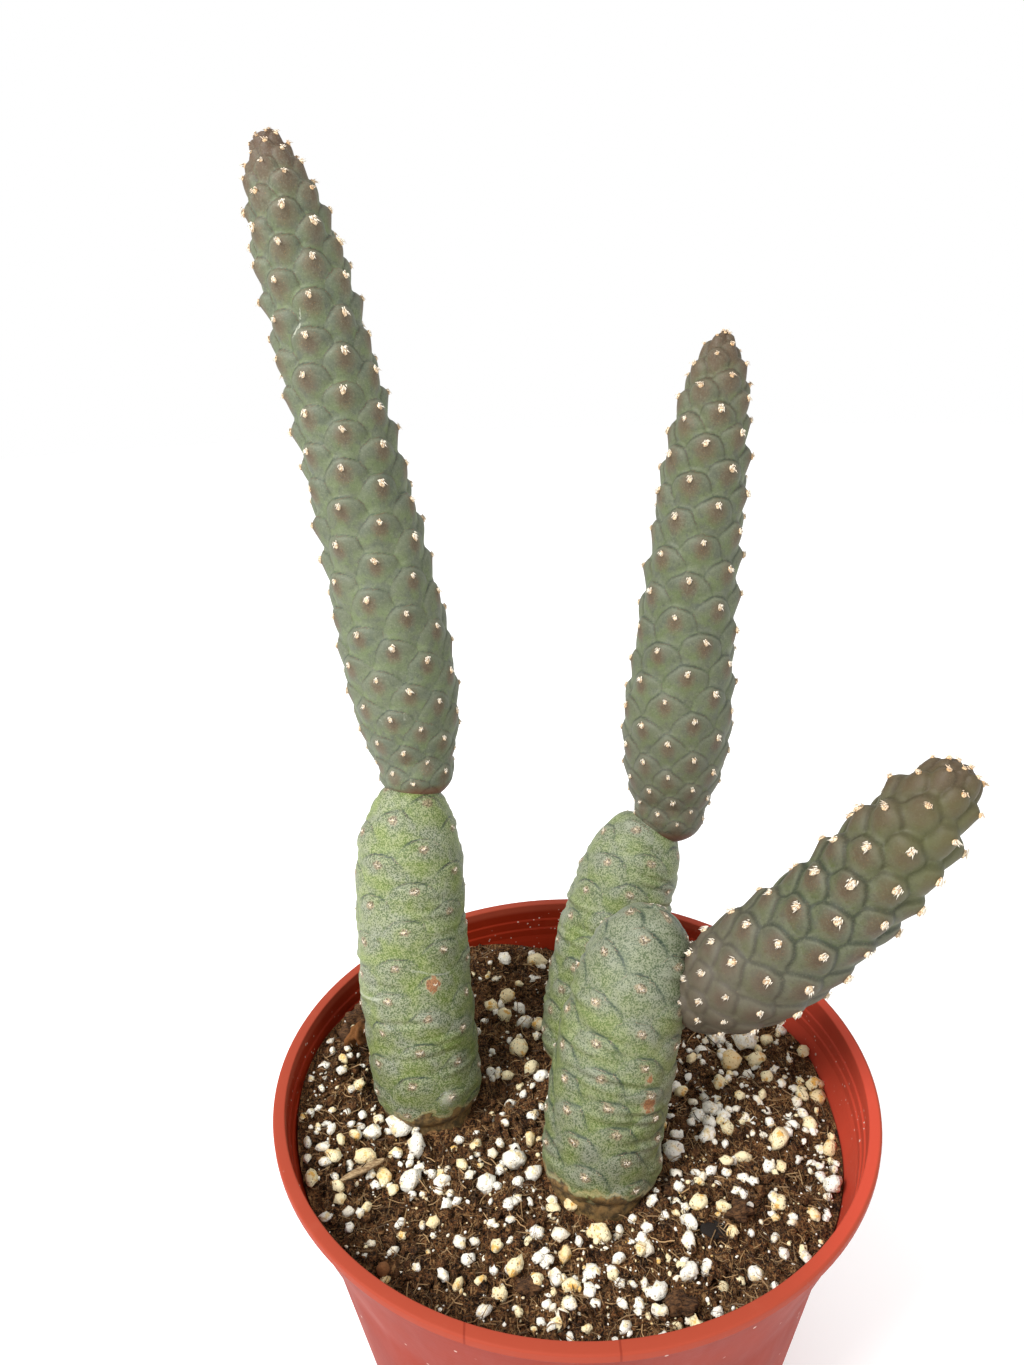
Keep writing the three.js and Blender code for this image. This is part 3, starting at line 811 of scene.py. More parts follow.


# %% [markdown]
# ### Skin of the new growth
# Dull grey green. Round and below each tuft sits a brown cap, where the scale is exposed, darkest just
# below the tuft, partly as painted shade; between caps the green is brighter. The creases are thin dark
# teal lines, partly the skin's own colour and partly painted shade, strongest above a tuft and lost here
# and there, with a wider band of painted shade beside them and a painted highlight along the top edge
# of each scale, and the growing tips are purple brown.

# %% New growth finish
new_skin = Finish("new_growth_skin")
across, above, crease, climb = new_skin.measures("across above crease climb")
to_tip, luck, shade = new_skin.measures("to_tip luck shade")

green_clouds = new_skin.noise(9, 4)
small_clouds = new_skin.noise(3.2, 4, rough=0.65)
fine_mottle = new_skin.noise(0.8, 4, rough=0.75)
new_skin.colour = new_skin.mix(green_clouds.step(0.3, 0.7), paint(78, 84, 68), paint(90, 96, 74))
new_skin.coat(luck * 0.3, paint(88, 86, 70))
between = (above + 4.8).bell(0, 3.0) * small_clouds.step(0.36, 0.62)
new_skin.coat(between * 0.65, paint(96, 110, 66))
new_skin.coat(between * shade * 0.5, paint(70, 82, 32))
new_skin.coat(small_clouds.step(0.5, 0.3) * 0.3, paint(72, 82, 70))

# %% Brown caps and creases
young = to_tip.step(110, 15)
cap_reach = (across * across + (above + 1.5) * (above + 1.5) * 0.62) ** 0.5
cap_size = young * 0.9 + shade * 0.3 + 2.3
cap = (cap_reach / cap_size + (new_skin.noise(1.4, 4, rough=0.7) - 0.5) * 0.9).step(1.25, 0.4)
new_skin.coat(cap * (shade * 0.12 + 0.64), paint(92, 74, 56))
# The darkest brown just below each tuft is partly the skin's colour and partly painted shade under the tuft.
brown_core_and_shade = (cap_reach + (new_skin.noise(0.7, 3) - 0.5) * 1.4).step(1.9, 0.5)
new_skin.coat(brown_core_and_shade * 0.42, paint(80, 58, 40))
flecks = new_skin.dots(0.8).step(0.2, 0.1) * cap.step(0.2, 0.7)
new_skin.coat(flecks * 0.35, paint(150, 118, 74))
lost = (new_skin.noise(6, 3) + shade * 0.15).step(0.34, 0.52) * 0.6 + 0.4
drawn = new_skin.measure("seam") * lost
# Painted highlight: a paler band along the top edge of each scale, just under the crease.
painted_rim_highlight = crease.bell(0.85, 0.4) * drawn
new_skin.coat(painted_rim_highlight * (shade * 0.2 + 0.25), paint(118, 124, 106))
# The dark crease line is partly the skin's own colour and partly painted shade in the crease.
line = (crease + (fine_mottle - 0.5) * 0.2).step(shade * 0.3 + 0.35, 0.06) * drawn
new_skin.coat(line * (shade * 0.1 + 0.84), paint(40, 52, 42))
# Painted shade: a wider darkening beside the creases, strongest on the front stem.
painted_crease_shade = crease.step(1.3, 0.1) * drawn * (shade * 0.35 + 0.1)
new_skin.coat(painted_crease_shade, paint(48, 60, 36))

# %% Tips, bloom and marks of the new growth
tip_brown = (to_tip + (new_skin.noise(5, 3) - 0.5) * 14).step(20, -3)
tip_brown = tip_brown * (cap * 0.5 + 0.55)
new_skin.coat(tip_brown * (0.75 - shade * 0.3), paint(76, 52, 38))
bloom = (fine_mottle - 0.5) * 0.9 + new_skin.noise(14, 2).step(0.5, 0.75) * 0.1
new_skin.coat(bloom.step(0, 0.3) * 0.36, paint(124, 129, 114))
new_skin.coat(fine_mottle.step(0.46, 0.3) * 0.42, paint(58, 63, 50))
sand = new_skin.noise(0.42, 2, rough=0.8)
new_skin.coat(sand.step(0.54, 0.7) * 0.3, paint(128, 132, 112))
new_skin.coat(sand.step(0.44, 0.28) * 0.38, paint(48, 54, 42))
new_skin.coat(shade, paint(217, 211, 202), "MULTIPLY")
head_brown = (to_tip + (new_skin.noise(7, 3) - 0.5) * 20).step(44, 4) * shade
new_skin.coat(head_brown * 0.5, paint(74, 58, 38))
foot_grey = climb.step(50, 8) * shade
new_skin.coat(foot_grey * 0.55, paint(88, 76, 66))
fresh = new_skin.near(80, -30, 190) + (new_skin.noise(5, 3) - 0.5) * 22
new_skin.coat(fresh.step(24, 6) * 0.35, paint(78, 84, 38))
neck_ring = climb.step(1.4, -1)
new_skin.coat(neck_ring * 0.65, paint(108, 64, 46))
ringed = (new_skin.near(-43.6, 24.1, 204.9) - 3.6).bell(0, 0.3) * new_skin.noise(0.7, 2).step(0.45, 0.6)
ringed = ringed * above.step(-1.5, 0.5)
scratch = new_skin.stroke((-58.9, 304.5), (-59.6, 299.6), 37)
scratch = scratch.sum("MINIMUM", new_skin.stroke((-59.6, 299.6), (-61.6, 296.7), 38))
scratch = scratch + (new_skin.noise(2, 2) - 0.5) * 1.6
scraped = scratch.sum("ABSOLUTE").step(0.3, 0.1) * new_skin.noise(0.8, 2).step(0.35, 0.55)
pale_marks = ringed.sum("MAXIMUM", scraped)
new_skin.coat(pale_marks * 0.55, paint(186, 188, 170))
pores = new_skin.noise(0.35, 3, rough=0.7)
new_skin.bump(pores * 0.6 + fine_mottle * 0.4, 0.08)
new_skin.surface(Base_Color=new_skin.colour, Roughness=fine_mottle * 0.3 + 0.45, Specular_IOR_Level=0.32)

# %% [markdown]
# ### Skin of the old growth
# Paler and yellower, under grey wax that breaks into fine speckles. Round each tuft the skin is a
# darker grey green, and at the soil line it has turned to a band of tan cork.

# %% Old growth finish
old_skin = Finish("old_growth_skin")
across, above, crease, climb, shade = old_skin.measures("across above crease climb shade")
patches = old_skin.noise(7, 4, rough=0.6)
speckle = old_skin.noise(0.42, 2, rough=0.7)
grit = old_skin.noise(1.9, 4, rough=0.7)
valley = (above + 4.4).bell(0, 2.8)
grey_top = climb.step(42, 60) * shade * 0.7
yellow = (patches + valley * 0.15 - 0.02).step(0.3, 0.82) * (1 - grey_top)
halo = (across * across / 16 + (above - 0.6) * (above - 0.6) / 6 + (grit - 0.5) * 2.8).step(2.6, 0.0)
old_skin.colour = old_skin.mix(yellow, paint(64, 76, 52), paint(87, 104, 42))
old_skin.coat(halo * 0.26, paint(62, 70, 50))
pale_wax = old_skin.mix(yellow, paint(141, 144, 124), paint(144, 151, 101))
cover = halo * 0.01 + (grit - 0.5) * 0.3 - (patches - 0.5) * 0.2 + shade * 0.02
stipple = old_skin.dots(0.62).step(0.46, 0.2)
waxed = (speckle + cover).step(0.45, 0.57).sum("MAXIMUM", stipple * 0.6)
old_skin.coat(waxed * 0.85, pale_wax)
old_skin.coat(shade * 0.22, paint(58, 64, 48))

# %% Creases and areoles of the old growth
lost = (old_skin.noise(7, 3) + shade * 0.1).step(0.36, 0.54) * 0.65 + 0.35
drawn = old_skin.measure("seam") * lost
shadow = crease.step(1.1, 0.1) * drawn
old_skin.coat(shadow * (shade * 0.2 + 0.25), paint(58, 76, 56))
# The dark crease line is partly the skin's own colour and partly painted shade in the crease.
line = (crease + (speckle - 0.5) * 0.25).step(0.45, 0.1) * drawn
old_skin.coat(line * 0.95, paint(34, 48, 38))
ragged = (speckle - 0.5) * 1.2 + (grit - 0.5) * 2.4
socket_reach = (across * across * 0.75 + above * above * 1.3) ** 0.5 + ragged
socket_colour = old_skin.mix(old_skin.noise(0.5, 2).step(0.42, 0.6), paint(80, 60, 42), paint(160, 142, 114))
old_skin.coat(socket_reach.step(1.5, 0.8) * 0.75, socket_colour)
specks = old_skin.dots(0.75).step(0.34, 0.2) * socket_reach.step(3.4, 1.4)
old_skin.coat(specks * 0.45, paint(48, 46, 34))

# %% Scars and cork of the old growth
scab = old_skin.near(-35.3, 3.5, 137.2).sum("MINIMUM", old_skin.near(17, -24.5, 122.3))
scab = scab.sum("MINIMUM", old_skin.near(17.3, -23.2, 128.4) + 0.8) + (old_skin.noise(1.5, 3) - 0.5) * 4
old_skin.coat(scab.step(2.5, 2.1) * 0.5, paint(160, 150, 120))
scab_colour = old_skin.mix(speckle.step(0.35, 0.65), paint(108, 58, 32), paint(156, 104, 62))
old_skin.coat(scab.step(1.9, 1.6) * 0.85, scab_colour)
scratch = old_skin.stroke((-56.7, 130.2), (-49.1, 133.5), 6)
scratch = scratch.sum("MINIMUM", old_skin.stroke((-40.8, 141.6), (-31.7, 138), 5))
scratch = (scratch + (grit - 0.5) * 1.4).sum("ABSOLUTE")
pale_spots = old_skin.near(21, -19.9, 132.6) + 0.3
frost = old_skin.near(-32.9, -4.9, 107.1) - 1.0 + (speckle - 0.5) * 11
pale_spots = pale_spots.sum("MINIMUM", frost)
pale_marks = (scratch.step(0.3, 0.05) * 0.4).sum("MAXIMUM", pale_spots.step(0.9, 0.4) * 0.7)
chalk = (old_skin.near(21.4, -20.2, 103.6) + (grit - 0.5) * 5).step(4.5, 2) * 0.4
pale_marks = pale_marks.sum("MAXIMUM", chalk)
old_skin.coat(pale_marks * 0.8, paint(186, 188, 170))
cork_edge = climb + shade * 1.6 + (old_skin.noise(6, 4) - 0.5) * 13
cork = cork_edge.step(3.6, 2.8)
cork_rim = cork_edge.bell(3.9, 0.5)
cork_colour = old_skin.mix(grit.step(0.35, 0.65), paint(58, 42, 24), paint(128, 98, 56))
old_skin.coat(cork_rim * 0.5, paint(170, 152, 108))
old_skin.coat(cork * 0.92, cork_colour)
old_skin.bump(speckle * 0.5 + grit * 0.5 + cork * 0.3 + pale_marks * 0.3, 0.12)
old_skin.surface(Base_Color=old_skin.colour, Roughness=waxed * 0.2 + 0.5, Specular_IOR_Level=0.4)

# %% Skins
SKIN_FINISHES = {"upper": new_skin, "lower": old_skin}
for name, segment in segments.items():
    made, measures = skin(name, segment)
    finish = SKIN_FINISHES[segment.level]
    make_piece(f"{name}_skin", made, finish, f"{name}_segment", measures=measures)

# %% [markdown]
# ### Tufts
# Every scale ends in a tuft: a felted brown cushion under two millimetres across, with a fringe of
# short white spines pressed down over it; on the old growth most of the spines have worn off. There
# are some six hundred, so each is one of a few shapes with a few dozen faces, facing out.


# %% Small shapes
def joined(placings):
    """Copies of small meshes as one bmesh, with the luck of each copy and the mark of each point."""
    made = bmesh.new()
    lucks, marks = [], []
    for shape, matrix, luck in placings:
        copy = shape.copy()
        copy.transform(matrix)
        made.from_mesh(copy)
        mark = np.empty(len(copy.vertices), np.float32)
        copy.attributes["mark"].data.foreach_get("value", mark)
        marks.append(mark)
        lucks.append(np.full(len(mark), luck, np.float32))
        bpy.data.meshes.remove(copy)
    return made, {"luck": np.concatenate(lucks), "mark": np.concatenate(marks)}


def kept_shape(made, unmarked=0):
    """A bmesh as a mesh to copy from; its points are marked 1 from a certain one on."""
    data = bpy.data.meshes.new("shape")
    made.to_mesh(data)
    made.free()
    mark = (np.arange(len(data.vertices)) >= unmarked).astype(np.float32)
    data.attributes.new("mark", "FLOAT", "POINT").data.foreach_set("value", mark)
    return data


SPINES, SPINE_LENGTH, SPINE_RADIUS = 10, 0.9, 0.16


def tuft_shape(seed, spread, lifted, cushion, spines=SPINES):
    """A cushion with spines, facing +Z with its top towards +Y, in millimetres."""
    rolls = random.Random(seed)
    made = bmesh.new()
    bmesh.ops.create_icosphere(made, subdivisions=1, radius=1)
    for vert in made.verts:
        vert.co = Vector([vert.co[axis] * cushion[axis] * rolls.uniform(0.8, 1.15) for axis in range(3)])
    wool_points = len(made.verts)
    for index in range(spines):
        fan = (index + 0.5) / spines * 2 - 1
        way = fan * spread + rolls.uniform(-0.2, 0.2)
        aim = Vector((math.sin(way), -math.cos(way), lifted * rolls.uniform(0.4, 1.8))).normalized()
        root = Vector((fan * cushion[0] * 0.9, rolls.uniform(-0.3, 0.9) * cushion[1], cushion[2] * 0.8))
        length = SPINE_LENGTH * rolls.uniform(0.55, 1.25)
        turn_to = aim.to_track_quat("Z", "Y").to_matrix().to_4x4()
        bmesh.ops.create_cone(
            made,
            cap_ends=True,
            segments=3,
            radius1=SPINE_RADIUS,
            radius2=0,
            depth=length,
            matrix=Matrix.Translation(root + aim * length / 2) @ turn_to,
        )
    bmesh.ops.scale(made, vec=(MM, MM, MM), verts=made.verts)
    return kept_shape(made, wool_points)


pressed_tufts = [tuft_shape(seed, 0.45, 0.3, (0.7, 1.05, 0.5)) for seed in range(12)]
tip_tufts = [tuft_shape(seed, 0.9, 0.7, (0.7, 0.75, 0.5)) for seed in range(20, 26)]
worn_tufts = [tuft_shape(seed, 2.7, 0.4, (0.8, 0.6, 0.3), spines=8) for seed in range(30, 42)]
tuft_shapes = {"upper": pressed_tufts, "lower": worn_tufts}
print("faces in a tuft", len(pressed_tufts[0].polygons))


# %% Tufts on a segment
def buried(place, level, stem):
    """Whether a tuft of the lower segment lies under the neck of the upper one."""
    if level == "upper":
        return False
    upper = segments[f"{stem}_upper"]
    s = np.linspace(-3, 12, 60)
    centre = upper.frames(s)[0]
    return bool((np.linalg.norm(centre - place, axis=1) < upper.radius(s) + 0.6).any())


TIP_TUFTS = 14  # millimetres below the top where the tufts turn younger and stand up
LOWEST_TUFT, TUFT_GAP, TUFT_SUNK = 1.6, 0.8, 0.15  # above the foot, under the top, into the skin


def tufts(name, segment, size):
    """A tuft on every scale that shows, facing out and, towards the tip, forward."""
    stem, level = name.split("_")
    highest = segment.length + TIP_ARC - TUFT_GAP
    inside = (segment.heights > LOWEST_TUFT) & (segment.heights < highest)
    s, angle = segment.heights[inside], segment.angles[inside]
    radius = segment.radius(s)
    lift = (scales(segment, s, angle, radius)[0] + waves(s, angle)) * fade(segment, s)
    lean = segment.lean(s)
    centre, forward, right, back = segment.frames(s)
    placings = []
    for k in range(len(s)):
        turn_by = math.radians(angle[k])
        out = Vector(math.cos(turn_by) * right[k] + math.sin(turn_by) * back[k])
        up = Vector(forward[k])
        turned_up = out * math.cos(lean[k]) + up * math.sin(lean[k])
        place = Vector(centre[k]) + out * radius[k] + turned_up * (lift[k] - TUFT_SUNK)
        if buried(np.array(place), level, stem):
            continue
        below = segment.length - s[k]
        near_tip = level == "upper" and below < TIP_TUFTS
        facing = (turned_up + up * (0.5 if near_tip else 0.3)).normalized()
        side = up.cross(facing).normalized()
        turn_to = Matrix((side, facing.cross(side), facing)).transposed().to_4x4()
        spin = Matrix.Rotation(chance.uniform(-0.35, 0.35), 4, "Z")
        grow = float(np.interp(s[k], *size) * np.interp(below, [-4, 2, 12], [0.55, 0.8, 1]))
        grow *= chance.uniform(0.8, 1.2) * segment.look["tuft_size"]
        shape = chance.choice(tip_tufts if near_tip else tuft_shapes[level])
        matrix = Matrix.Translation(place * MM) @ turn_to @ spin @ Matrix.Diagonal((grow, grow, grow, 1))
        placings.append((shape, matrix, chance.uniform(0.8, 1) if near_tip else chance.uniform(0, 0.85)))
    return joined(placings)


# %% Tuft finish
wool = Finish("tuft_wool")
felt = wool.noise(0.5, 3)
spine = wool.measure("mark")
wool.colour = wool.mix(felt.step(0.35, 0.65), paint(158, 124, 90), paint(228, 208, 174))
wool.coat(spine * 0.85, paint(240, 232, 216))
wool.coat(wool.measure("luck").step(0.75, 1) * 0.45, paint(206, 158, 100))
wool.bump(felt, 0.1)
wool.surface(Base_Color=wool.colour, Roughness=0.7)

TUFT_SIZES = {  # heights along a segment, and the size of a tuft there
    "upper": ([0, 40, 90], [0.72, 0.98, 1.05]),
    "lower": ([0, 1], [0.8, 0.8]),
}
for name, segment in segments.items():
    made, measures = tufts(name, segment, TUFT_SIZES[segment.level])
    make_piece(f"{name}_tufts", made, wool, measures=measures)

# %% [markdown]
# ## Potting mix
# Dark fibrous peat with perlite, the white crumbs of puffed rock, and cream pumice. The bed is one
# spun disc with rough relief; loose crumbs, fibres and grains lie on it and break its surface.

# %% Bed
SOIL_Z, SOIL_FLAT = 95.5, 6
BANKS = [(168, 42, 11), (112, 20, 6), (18, 14, 3.5)]  # direction, spread in degrees, height
ROOM_HEIGHTS = [85, 101.5, 105.2, 108.3, 114]
ROOM_RADII = [66.7, 71.9, 72.7, 73.3, 73.6]  # just clear of the inner steps of the pot
BED_GAP = 0.4  # between the bed and the wall


def soil_height(x, y):
    """The gentle heaps of the CAD source, and the peat that is banked up against the wall."""
    heap = 3.2 * np.exp(-((x + 45) ** 2 + (y - 42) ** 2) / 500)
    swell = np.sin(0.13 * x + 1.1) * np.cos(0.11 * y) + 0.6 * np.sin(0.31 * x - 0.27 * y)
    edge = np.clip((wall_radius(SOIL_Z) - WALL - np.hypot(x, y)) / SOIL_FLAT, 0, 1)
    climbing = np.clip((np.hypot(x, y) - 48) / 22, 0, 1)
    bank = 0
    for direction, spread, high in BANKS:
        off = (np.degrees(np.arctan2(y, x)) - direction + 180) % 360 - 180
        bank = bank + high * np.exp(-((off / spread) ** 2))
    return SOIL_Z + (heap + 0.7 * swell) * edge + bank * climbing**2 * (3 - 2 * climbing)


def room(z):
    """How far out the soil reaches at a height."""
    return np.interp(z, ROOM_HEIGHTS, ROOM_RADII)


def roughness(x, y):
    """Lumps of peat, from hollows a centimetre across down to crumbs."""
    spot = Vector((x, y, 3.0))
    lumps = noise.fractal(spot / 9, 0.7, 2.1, 5)
    crumbs = noise.ridged_multi_fractal(spot / 3.0, 0.8, 2.2, 4, 1.0, 1.5)
    return 1.9 * lumps + 1.0 * (crumbs - 1.2)


BED_RADIUS = wall_radius(SOIL_Z) - WALL - BED_GAP
BED_FOOT = 4.6  # just above the raised ring of the pot's floor
bed_outline = [(0, BED_FOOT), (wall_radius(BED_FOOT) - WALL - 1.8, BED_FOOT)]
bed_outline += [(wall_radius(z) - WALL - BED_GAP, z) for z in (8, 84, 86)]
bed_outline += [(radius, SOIL_Z) for radius in np.linspace(BED_RADIUS, 0, 88)]
bed_mesh = turned(bed_outline, 380)
top = [vert for vert in bed_mesh.verts if vert.co.z > (SOIL_Z - 0.5) * MM]
for vert in top:
    x, y = vert.co.x / MM, vert.co.y / MM
    out = math.hypot(x, y)
    edge = min(1, max(0.0, (BED_RADIUS - out) / 1.5))
    height = float(soil_height(x, y)) + roughness(x, y) * edge
    wider = 1 + (room(height) / BED_RADIUS - 1) * max(0.0, (out - 50) / (BED_RADIUS - 50)) ** 2
    vert.co = Vector((x * wider, y * wider, height)) * MM
print("bed points raised", len(top))

# %% Peat finish
peat = Finish("peat")
peat_grain = peat.noise(0.6, 5, rough=0.8)
peat_lumps = peat.noise(6, 4)
threads = peat.noise(0.9, 3, stretch=(1, 0.16, 1), rough=0.6, warp=1.6)
straws = peat.noise(0.9, 3, stretch=(0.16, 1, 1), rough=0.6, warp=1.6)
peat.colour = peat.mix(peat_grain.step(0.42, 0.64), paint(20, 11, 6), paint(142, 93, 53))
peat.coat(peat_lumps.step(0.5, 0.34) * 0.55, paint(24, 14, 8))
peat.coat(peat_lumps.step(0.5, 0.7) * 0.35, paint(112, 76, 44))
peat.coat(threads.step(0.56, 0.64) * 0.75, paint(184, 142, 94))
peat.coat(straws.step(0.57, 0.65) * 0.7, paint(172, 130, 84))
peat.coat(threads.step(0.44, 0.36) * 0.5, paint(24, 13, 7))
peat.coat(peat.measure("luck").step(0.55, 1) * 0.4, paint(106, 68, 38))
peat.bump(peat_grain * 0.8 + threads * 0.8 + straws * 0.6, 1.1)
peat.surface(Base_Color=peat.colour, Roughness=0.9, Specular_IOR_Level=0.2)
make_piece("peat_bed", bed_mesh, peat, "soil", smooth=False)


# %% Loose shapes
def lump_shape(seed, subdivisions, jag, stretch):
    """A knobbly stone one millimetre across."""
    made = bmesh.new()
    bmesh.ops.create_icosphere(made, subdivisions=subdivisions, radius=0.5)
    for vert in made.verts:
        push = 1 + jag * noise.noise(vert.co * 3.1 + Vector((seed * 7.3, 0, 0)))
        vert.co = Vector((vert.co.x * stretch[0], vert.co.y * stretch[1], vert.co.z * stretch[2])) * push
    bmesh.ops.scale(made, vec=(MM, MM, MM), verts=made.verts)
    return kept_shape(made)


def lump_set(first, count, subdivisions, jag):
    rolls = random.Random(first)
    return [
        lump_shape(first + i, subdivisions, jag, (1.0, rolls.uniform(0.6, 1), rolls.uniform(0.55, 0.9)))
        for i in range(count)
    ]


big_grains = lump_set(100, 16, 2, 0.5)
small_grains = lump_set(200, 8, 1, 0.45)
peat_crumbs = lump_set(300, 9, 1, 1.7)


def laid(shape, x, y, size, sunk=0.15):
    """A copy of a small shape on the soil, turned at random."""
    height = float(soil_height(x, y)) + roughness(x, y)
    spot = Vector((x, y, height + size * (0.4 - sunk))) * MM
    turn_to = Matrix.Rotation(chance.uniform(0, math.tau), 4, "Z")
    tip_over = Matrix.Rotation(chance.uniform(-0.5, 0.5), 4, "X")
    matrix = Matrix.Translation(spot) @ turn_to @ tip_over @ Matrix.Diagonal((size, size, size, 1))
    return (shape, matrix, chance.random())


def free_spot(margin):
    """A place on the soil that no stem covers."""
    while True:
        x, y = chance.uniform(-72, 72), chance.uniform(-72, 72)
        if math.hypot(x, y) > room(float(soil_height(x, y))) - margin:
            continue
        if all(math.hypot(x - foot[0], y - foot[1]) > STEM_CLEAR + margin for foot in STEM_FEET):
            return x, y


STEM_FEET = [stem["lower"]["path"][0] for stem in STEMS.values()]
STEM_CLEAR = 13  # nearest that anything loose comes to the axis of a stem

# %% [markdown]
# ### Grains
# The large grains are placed one by one, as (x, y, size) seen from above: whiter perlite and the
# yellower pumice. The small ones are scattered, thicker in front and at both sides.

# %% Large grains
WHITE_GRAINS = [  # perlite
    (-46.5, -3.5, 7), (-42, -4.5, 3), (-41.5, -10, 6.5), (-53.7, -5.6, 5), (-68.3, 10.8, 3),
    (-66.9, 15.5, 2.5), (-64.1, -14.3, 2), (-49.6, -38.7, 2.5), (-42, -20, 7), (-34, -21.5, 4),
    (-37, -17.5, 3), (-41.5, -24.5, 3), (-38, -26, 2), (-8.5, 2.5, 3), (-19, 1.5, 2),
    (-16, -15.5, 6), (-11, -19.5, 5), (-19, -14.5, 3), (-23, -22.5, 5), (-17.5, -29, 3.5),
    (-11, -36, 4), (-5.5, -38, 4), (-20, -39.5, 3), (-23, -54.6, 4), (1.5, -46.5, 4), (14, -42, 4),
    (15.5, -52, 5), (11, -54.5, 3.5), (15, -57, 4), (23, -48, 5), (38, -47.5, 4), (25.5, -35, 4.5),
    (24.5, -39.5, 5), (50.5, -34, 2.5), (59, -33, 3), (62.1, -27.1, 5), (7, -60.5, 3),
    (25, -13.5, 6), (34, -1, 5), (38, 0.5, 5), (36.5, -4.5, 4), (40.5, -2.5, 3.5), (35, -9.5, 5),
    (58.5, -6.1, 4), (64.1, 26.7, 3.5),
    (53.1, 24.5, 7), (45.4, 27.3, 6), (40, 22, 5), (50.9, 12.6, 4), (38, 6, 4), (44.5, -1, 3),
    (40.5, 2, 3), (49, -18.5, 3.5), (60.5, -23.5, 3), (-17.8, 60.8, 5), (-13.5, 42, 5),
    (-12, 36, 5), (-8.5, 30, 3), (-7.5, 13, 4), (-22, 16, 3), (-9, 55.5, 3),
]
CREAM_GRAINS = [  # pumice
    (-47, -11.5, 4), (-54, -15.1, 6), (-57.6, -8.3, 3.5), (-58.3, 6.5, 4), (-61.5, 23.7, 4),
    (-62.7, 10.4, 2), (-66.6, -9.4, 2), (-61.5, -17.5, 4), (-65.7, -24.5, 4), (-58.9, -26.5, 3.5),
    (-52, -29, 3.5), (-48.9, -19.1, 4), (-26, -9, 4), (-11.5, -9, 4), (-6.5, -28.5, 3.5),
    (-2, -29, 4), (3, -30, 3), (-4.5, -41.5, 4), (-16, -45, 5), (-29, -48.2, 3), (-24, -47.5, 3.5),
    (-19.5, -50.5, 4), (-11.5, -48.5, 3.5), (-3.5, -50, 4), (-4.5, -54.5, 3.5), (-7, -57.5, 3.5),
    (4, -37, 6), (6, -47, 3), (22.5, -58.5, 4), (30, -49, 4), (28.5, -30, 5), (34.5, -31, 4),
    (48.5, -29.5, 4), (41, -7, 4), (45.5, -4.5, 3), (43, -15.5, 4), (53, -12, 6), (62.9, -6.2, 4),
    (66, -13.5, 5), (67.6, 2.5, 4.5), (63.7, 3.1, 4), (64, 6.1, 3), (67.9, 6.2, 5), (67.4, 15.8, 4),
    (59.1, 24.1, 4), (36, 18, 4), (47, 17.9, 7), (54.6, 16.6, 6), (55.7, 9.6, 4), (42, 9, 5),
    (31, 6.5, 4), (52.5, 2.9, 3), (38, -18, 3.5), (-7.1, 62.2, 7), (-23.7, 55.4, 3),
    (-17.5, 47.6, 6), (-22, 42, 5), (-18, 37, 5), (-7.5, 35, 5), (-14, 24, 6), (-10.5, 17.5, 5),
    (-17.5, 14.5, 4),
]


# %% Small grains
def scatter_size(most, pull):
    """Sizes from half a millimetre up, nearly all of them small."""
    return 0.55 + most * chance.random() ** pull


CROWDS = [(6, -38, 0.8, 900), (48, 6, 0.55, 1100), (-50, -8, 0.4, 800)]  # x, y, how many more, spread


def crowd(x, y):
    """How thick the small grains lie: some everywhere, more in front, at the right and at the left."""
    return 0.22 + sum(more * math.exp(-((x - a) ** 2 + (y - b) ** 2) / wide) for a, b, more, wide in CROWDS)


def grain_piece(name, grains, small_count, finish):
    """Large grains laid one by one and small ones scattered, as one piece."""
    placings = [laid(chance.choice(big_grains), x, y, size) for x, y, size in grains]
    while len(placings) < len(grains) + small_count:
        x, y = free_spot(1.3)
        if chance.random() > crowd(x, y):
            continue
        size = scatter_size(2.9, 3.1)
        shape = chance.choice(big_grains if size > 2 else small_grains)
        placings.append(laid(shape, x, y, size, sunk=0.1))
    made, measures = joined(placings)
    make_piece(name, made, finish, measures=measures)


# %% Grain finishes
def stone(name, pale, stained, dirt):
    """A pale porous grain, stained in patches, with dirt in its pits."""
    finish = Finish(name)
    stain = finish.noise(2.2, 4, rough=0.65)
    pits = finish.noise(0.7, 3, rough=0.7)
    finish.colour = finish.mix(stain.step(0.5, 0.66), pale, stained)
    finish.coat(pits.step(0.42, 0.32) * 0.6, dirt)
    finish.coat(finish.dots(1.1).step(0.24, 0.12) * 0.75, dirt)
    finish.coat(finish.measure("luck").step(0.75, 1) * 0.35, stained)
    finish.bump(pits * 0.8 + stain * 0.5, 0.7)
    finish.surface(Base_Color=finish.colour, Roughness=0.8)
    return finish


perlite = stone("perlite", paint(242, 238, 226), paint(226, 204, 156), paint(100, 80, 58))
pumice = stone("pumice", paint(238, 224, 182), paint(222, 172, 84), paint(92, 62, 36))
WHITE_COUNT, CREAM_COUNT = 1350, 400
grain_piece("perlite_grains", WHITE_GRAINS, WHITE_COUNT, perlite)
grain_piece("pumice_grains", CREAM_GRAINS, CREAM_COUNT, pumice)

# %% Peat crumbs
CRUMB_COUNT = 3000
placings = []
for _ in range(CRUMB_COUNT):
    size = scatter_size(2.6, 2.4) + 0.3
    x, y = free_spot(0.3 + size * 0.5)
    placings.append(laid(chance.choice(peat_crumbs), x, y, size, sunk=0.2))
made, measures = joined(placings)
make_piece("peat_crumbs", made, peat, measures=measures)


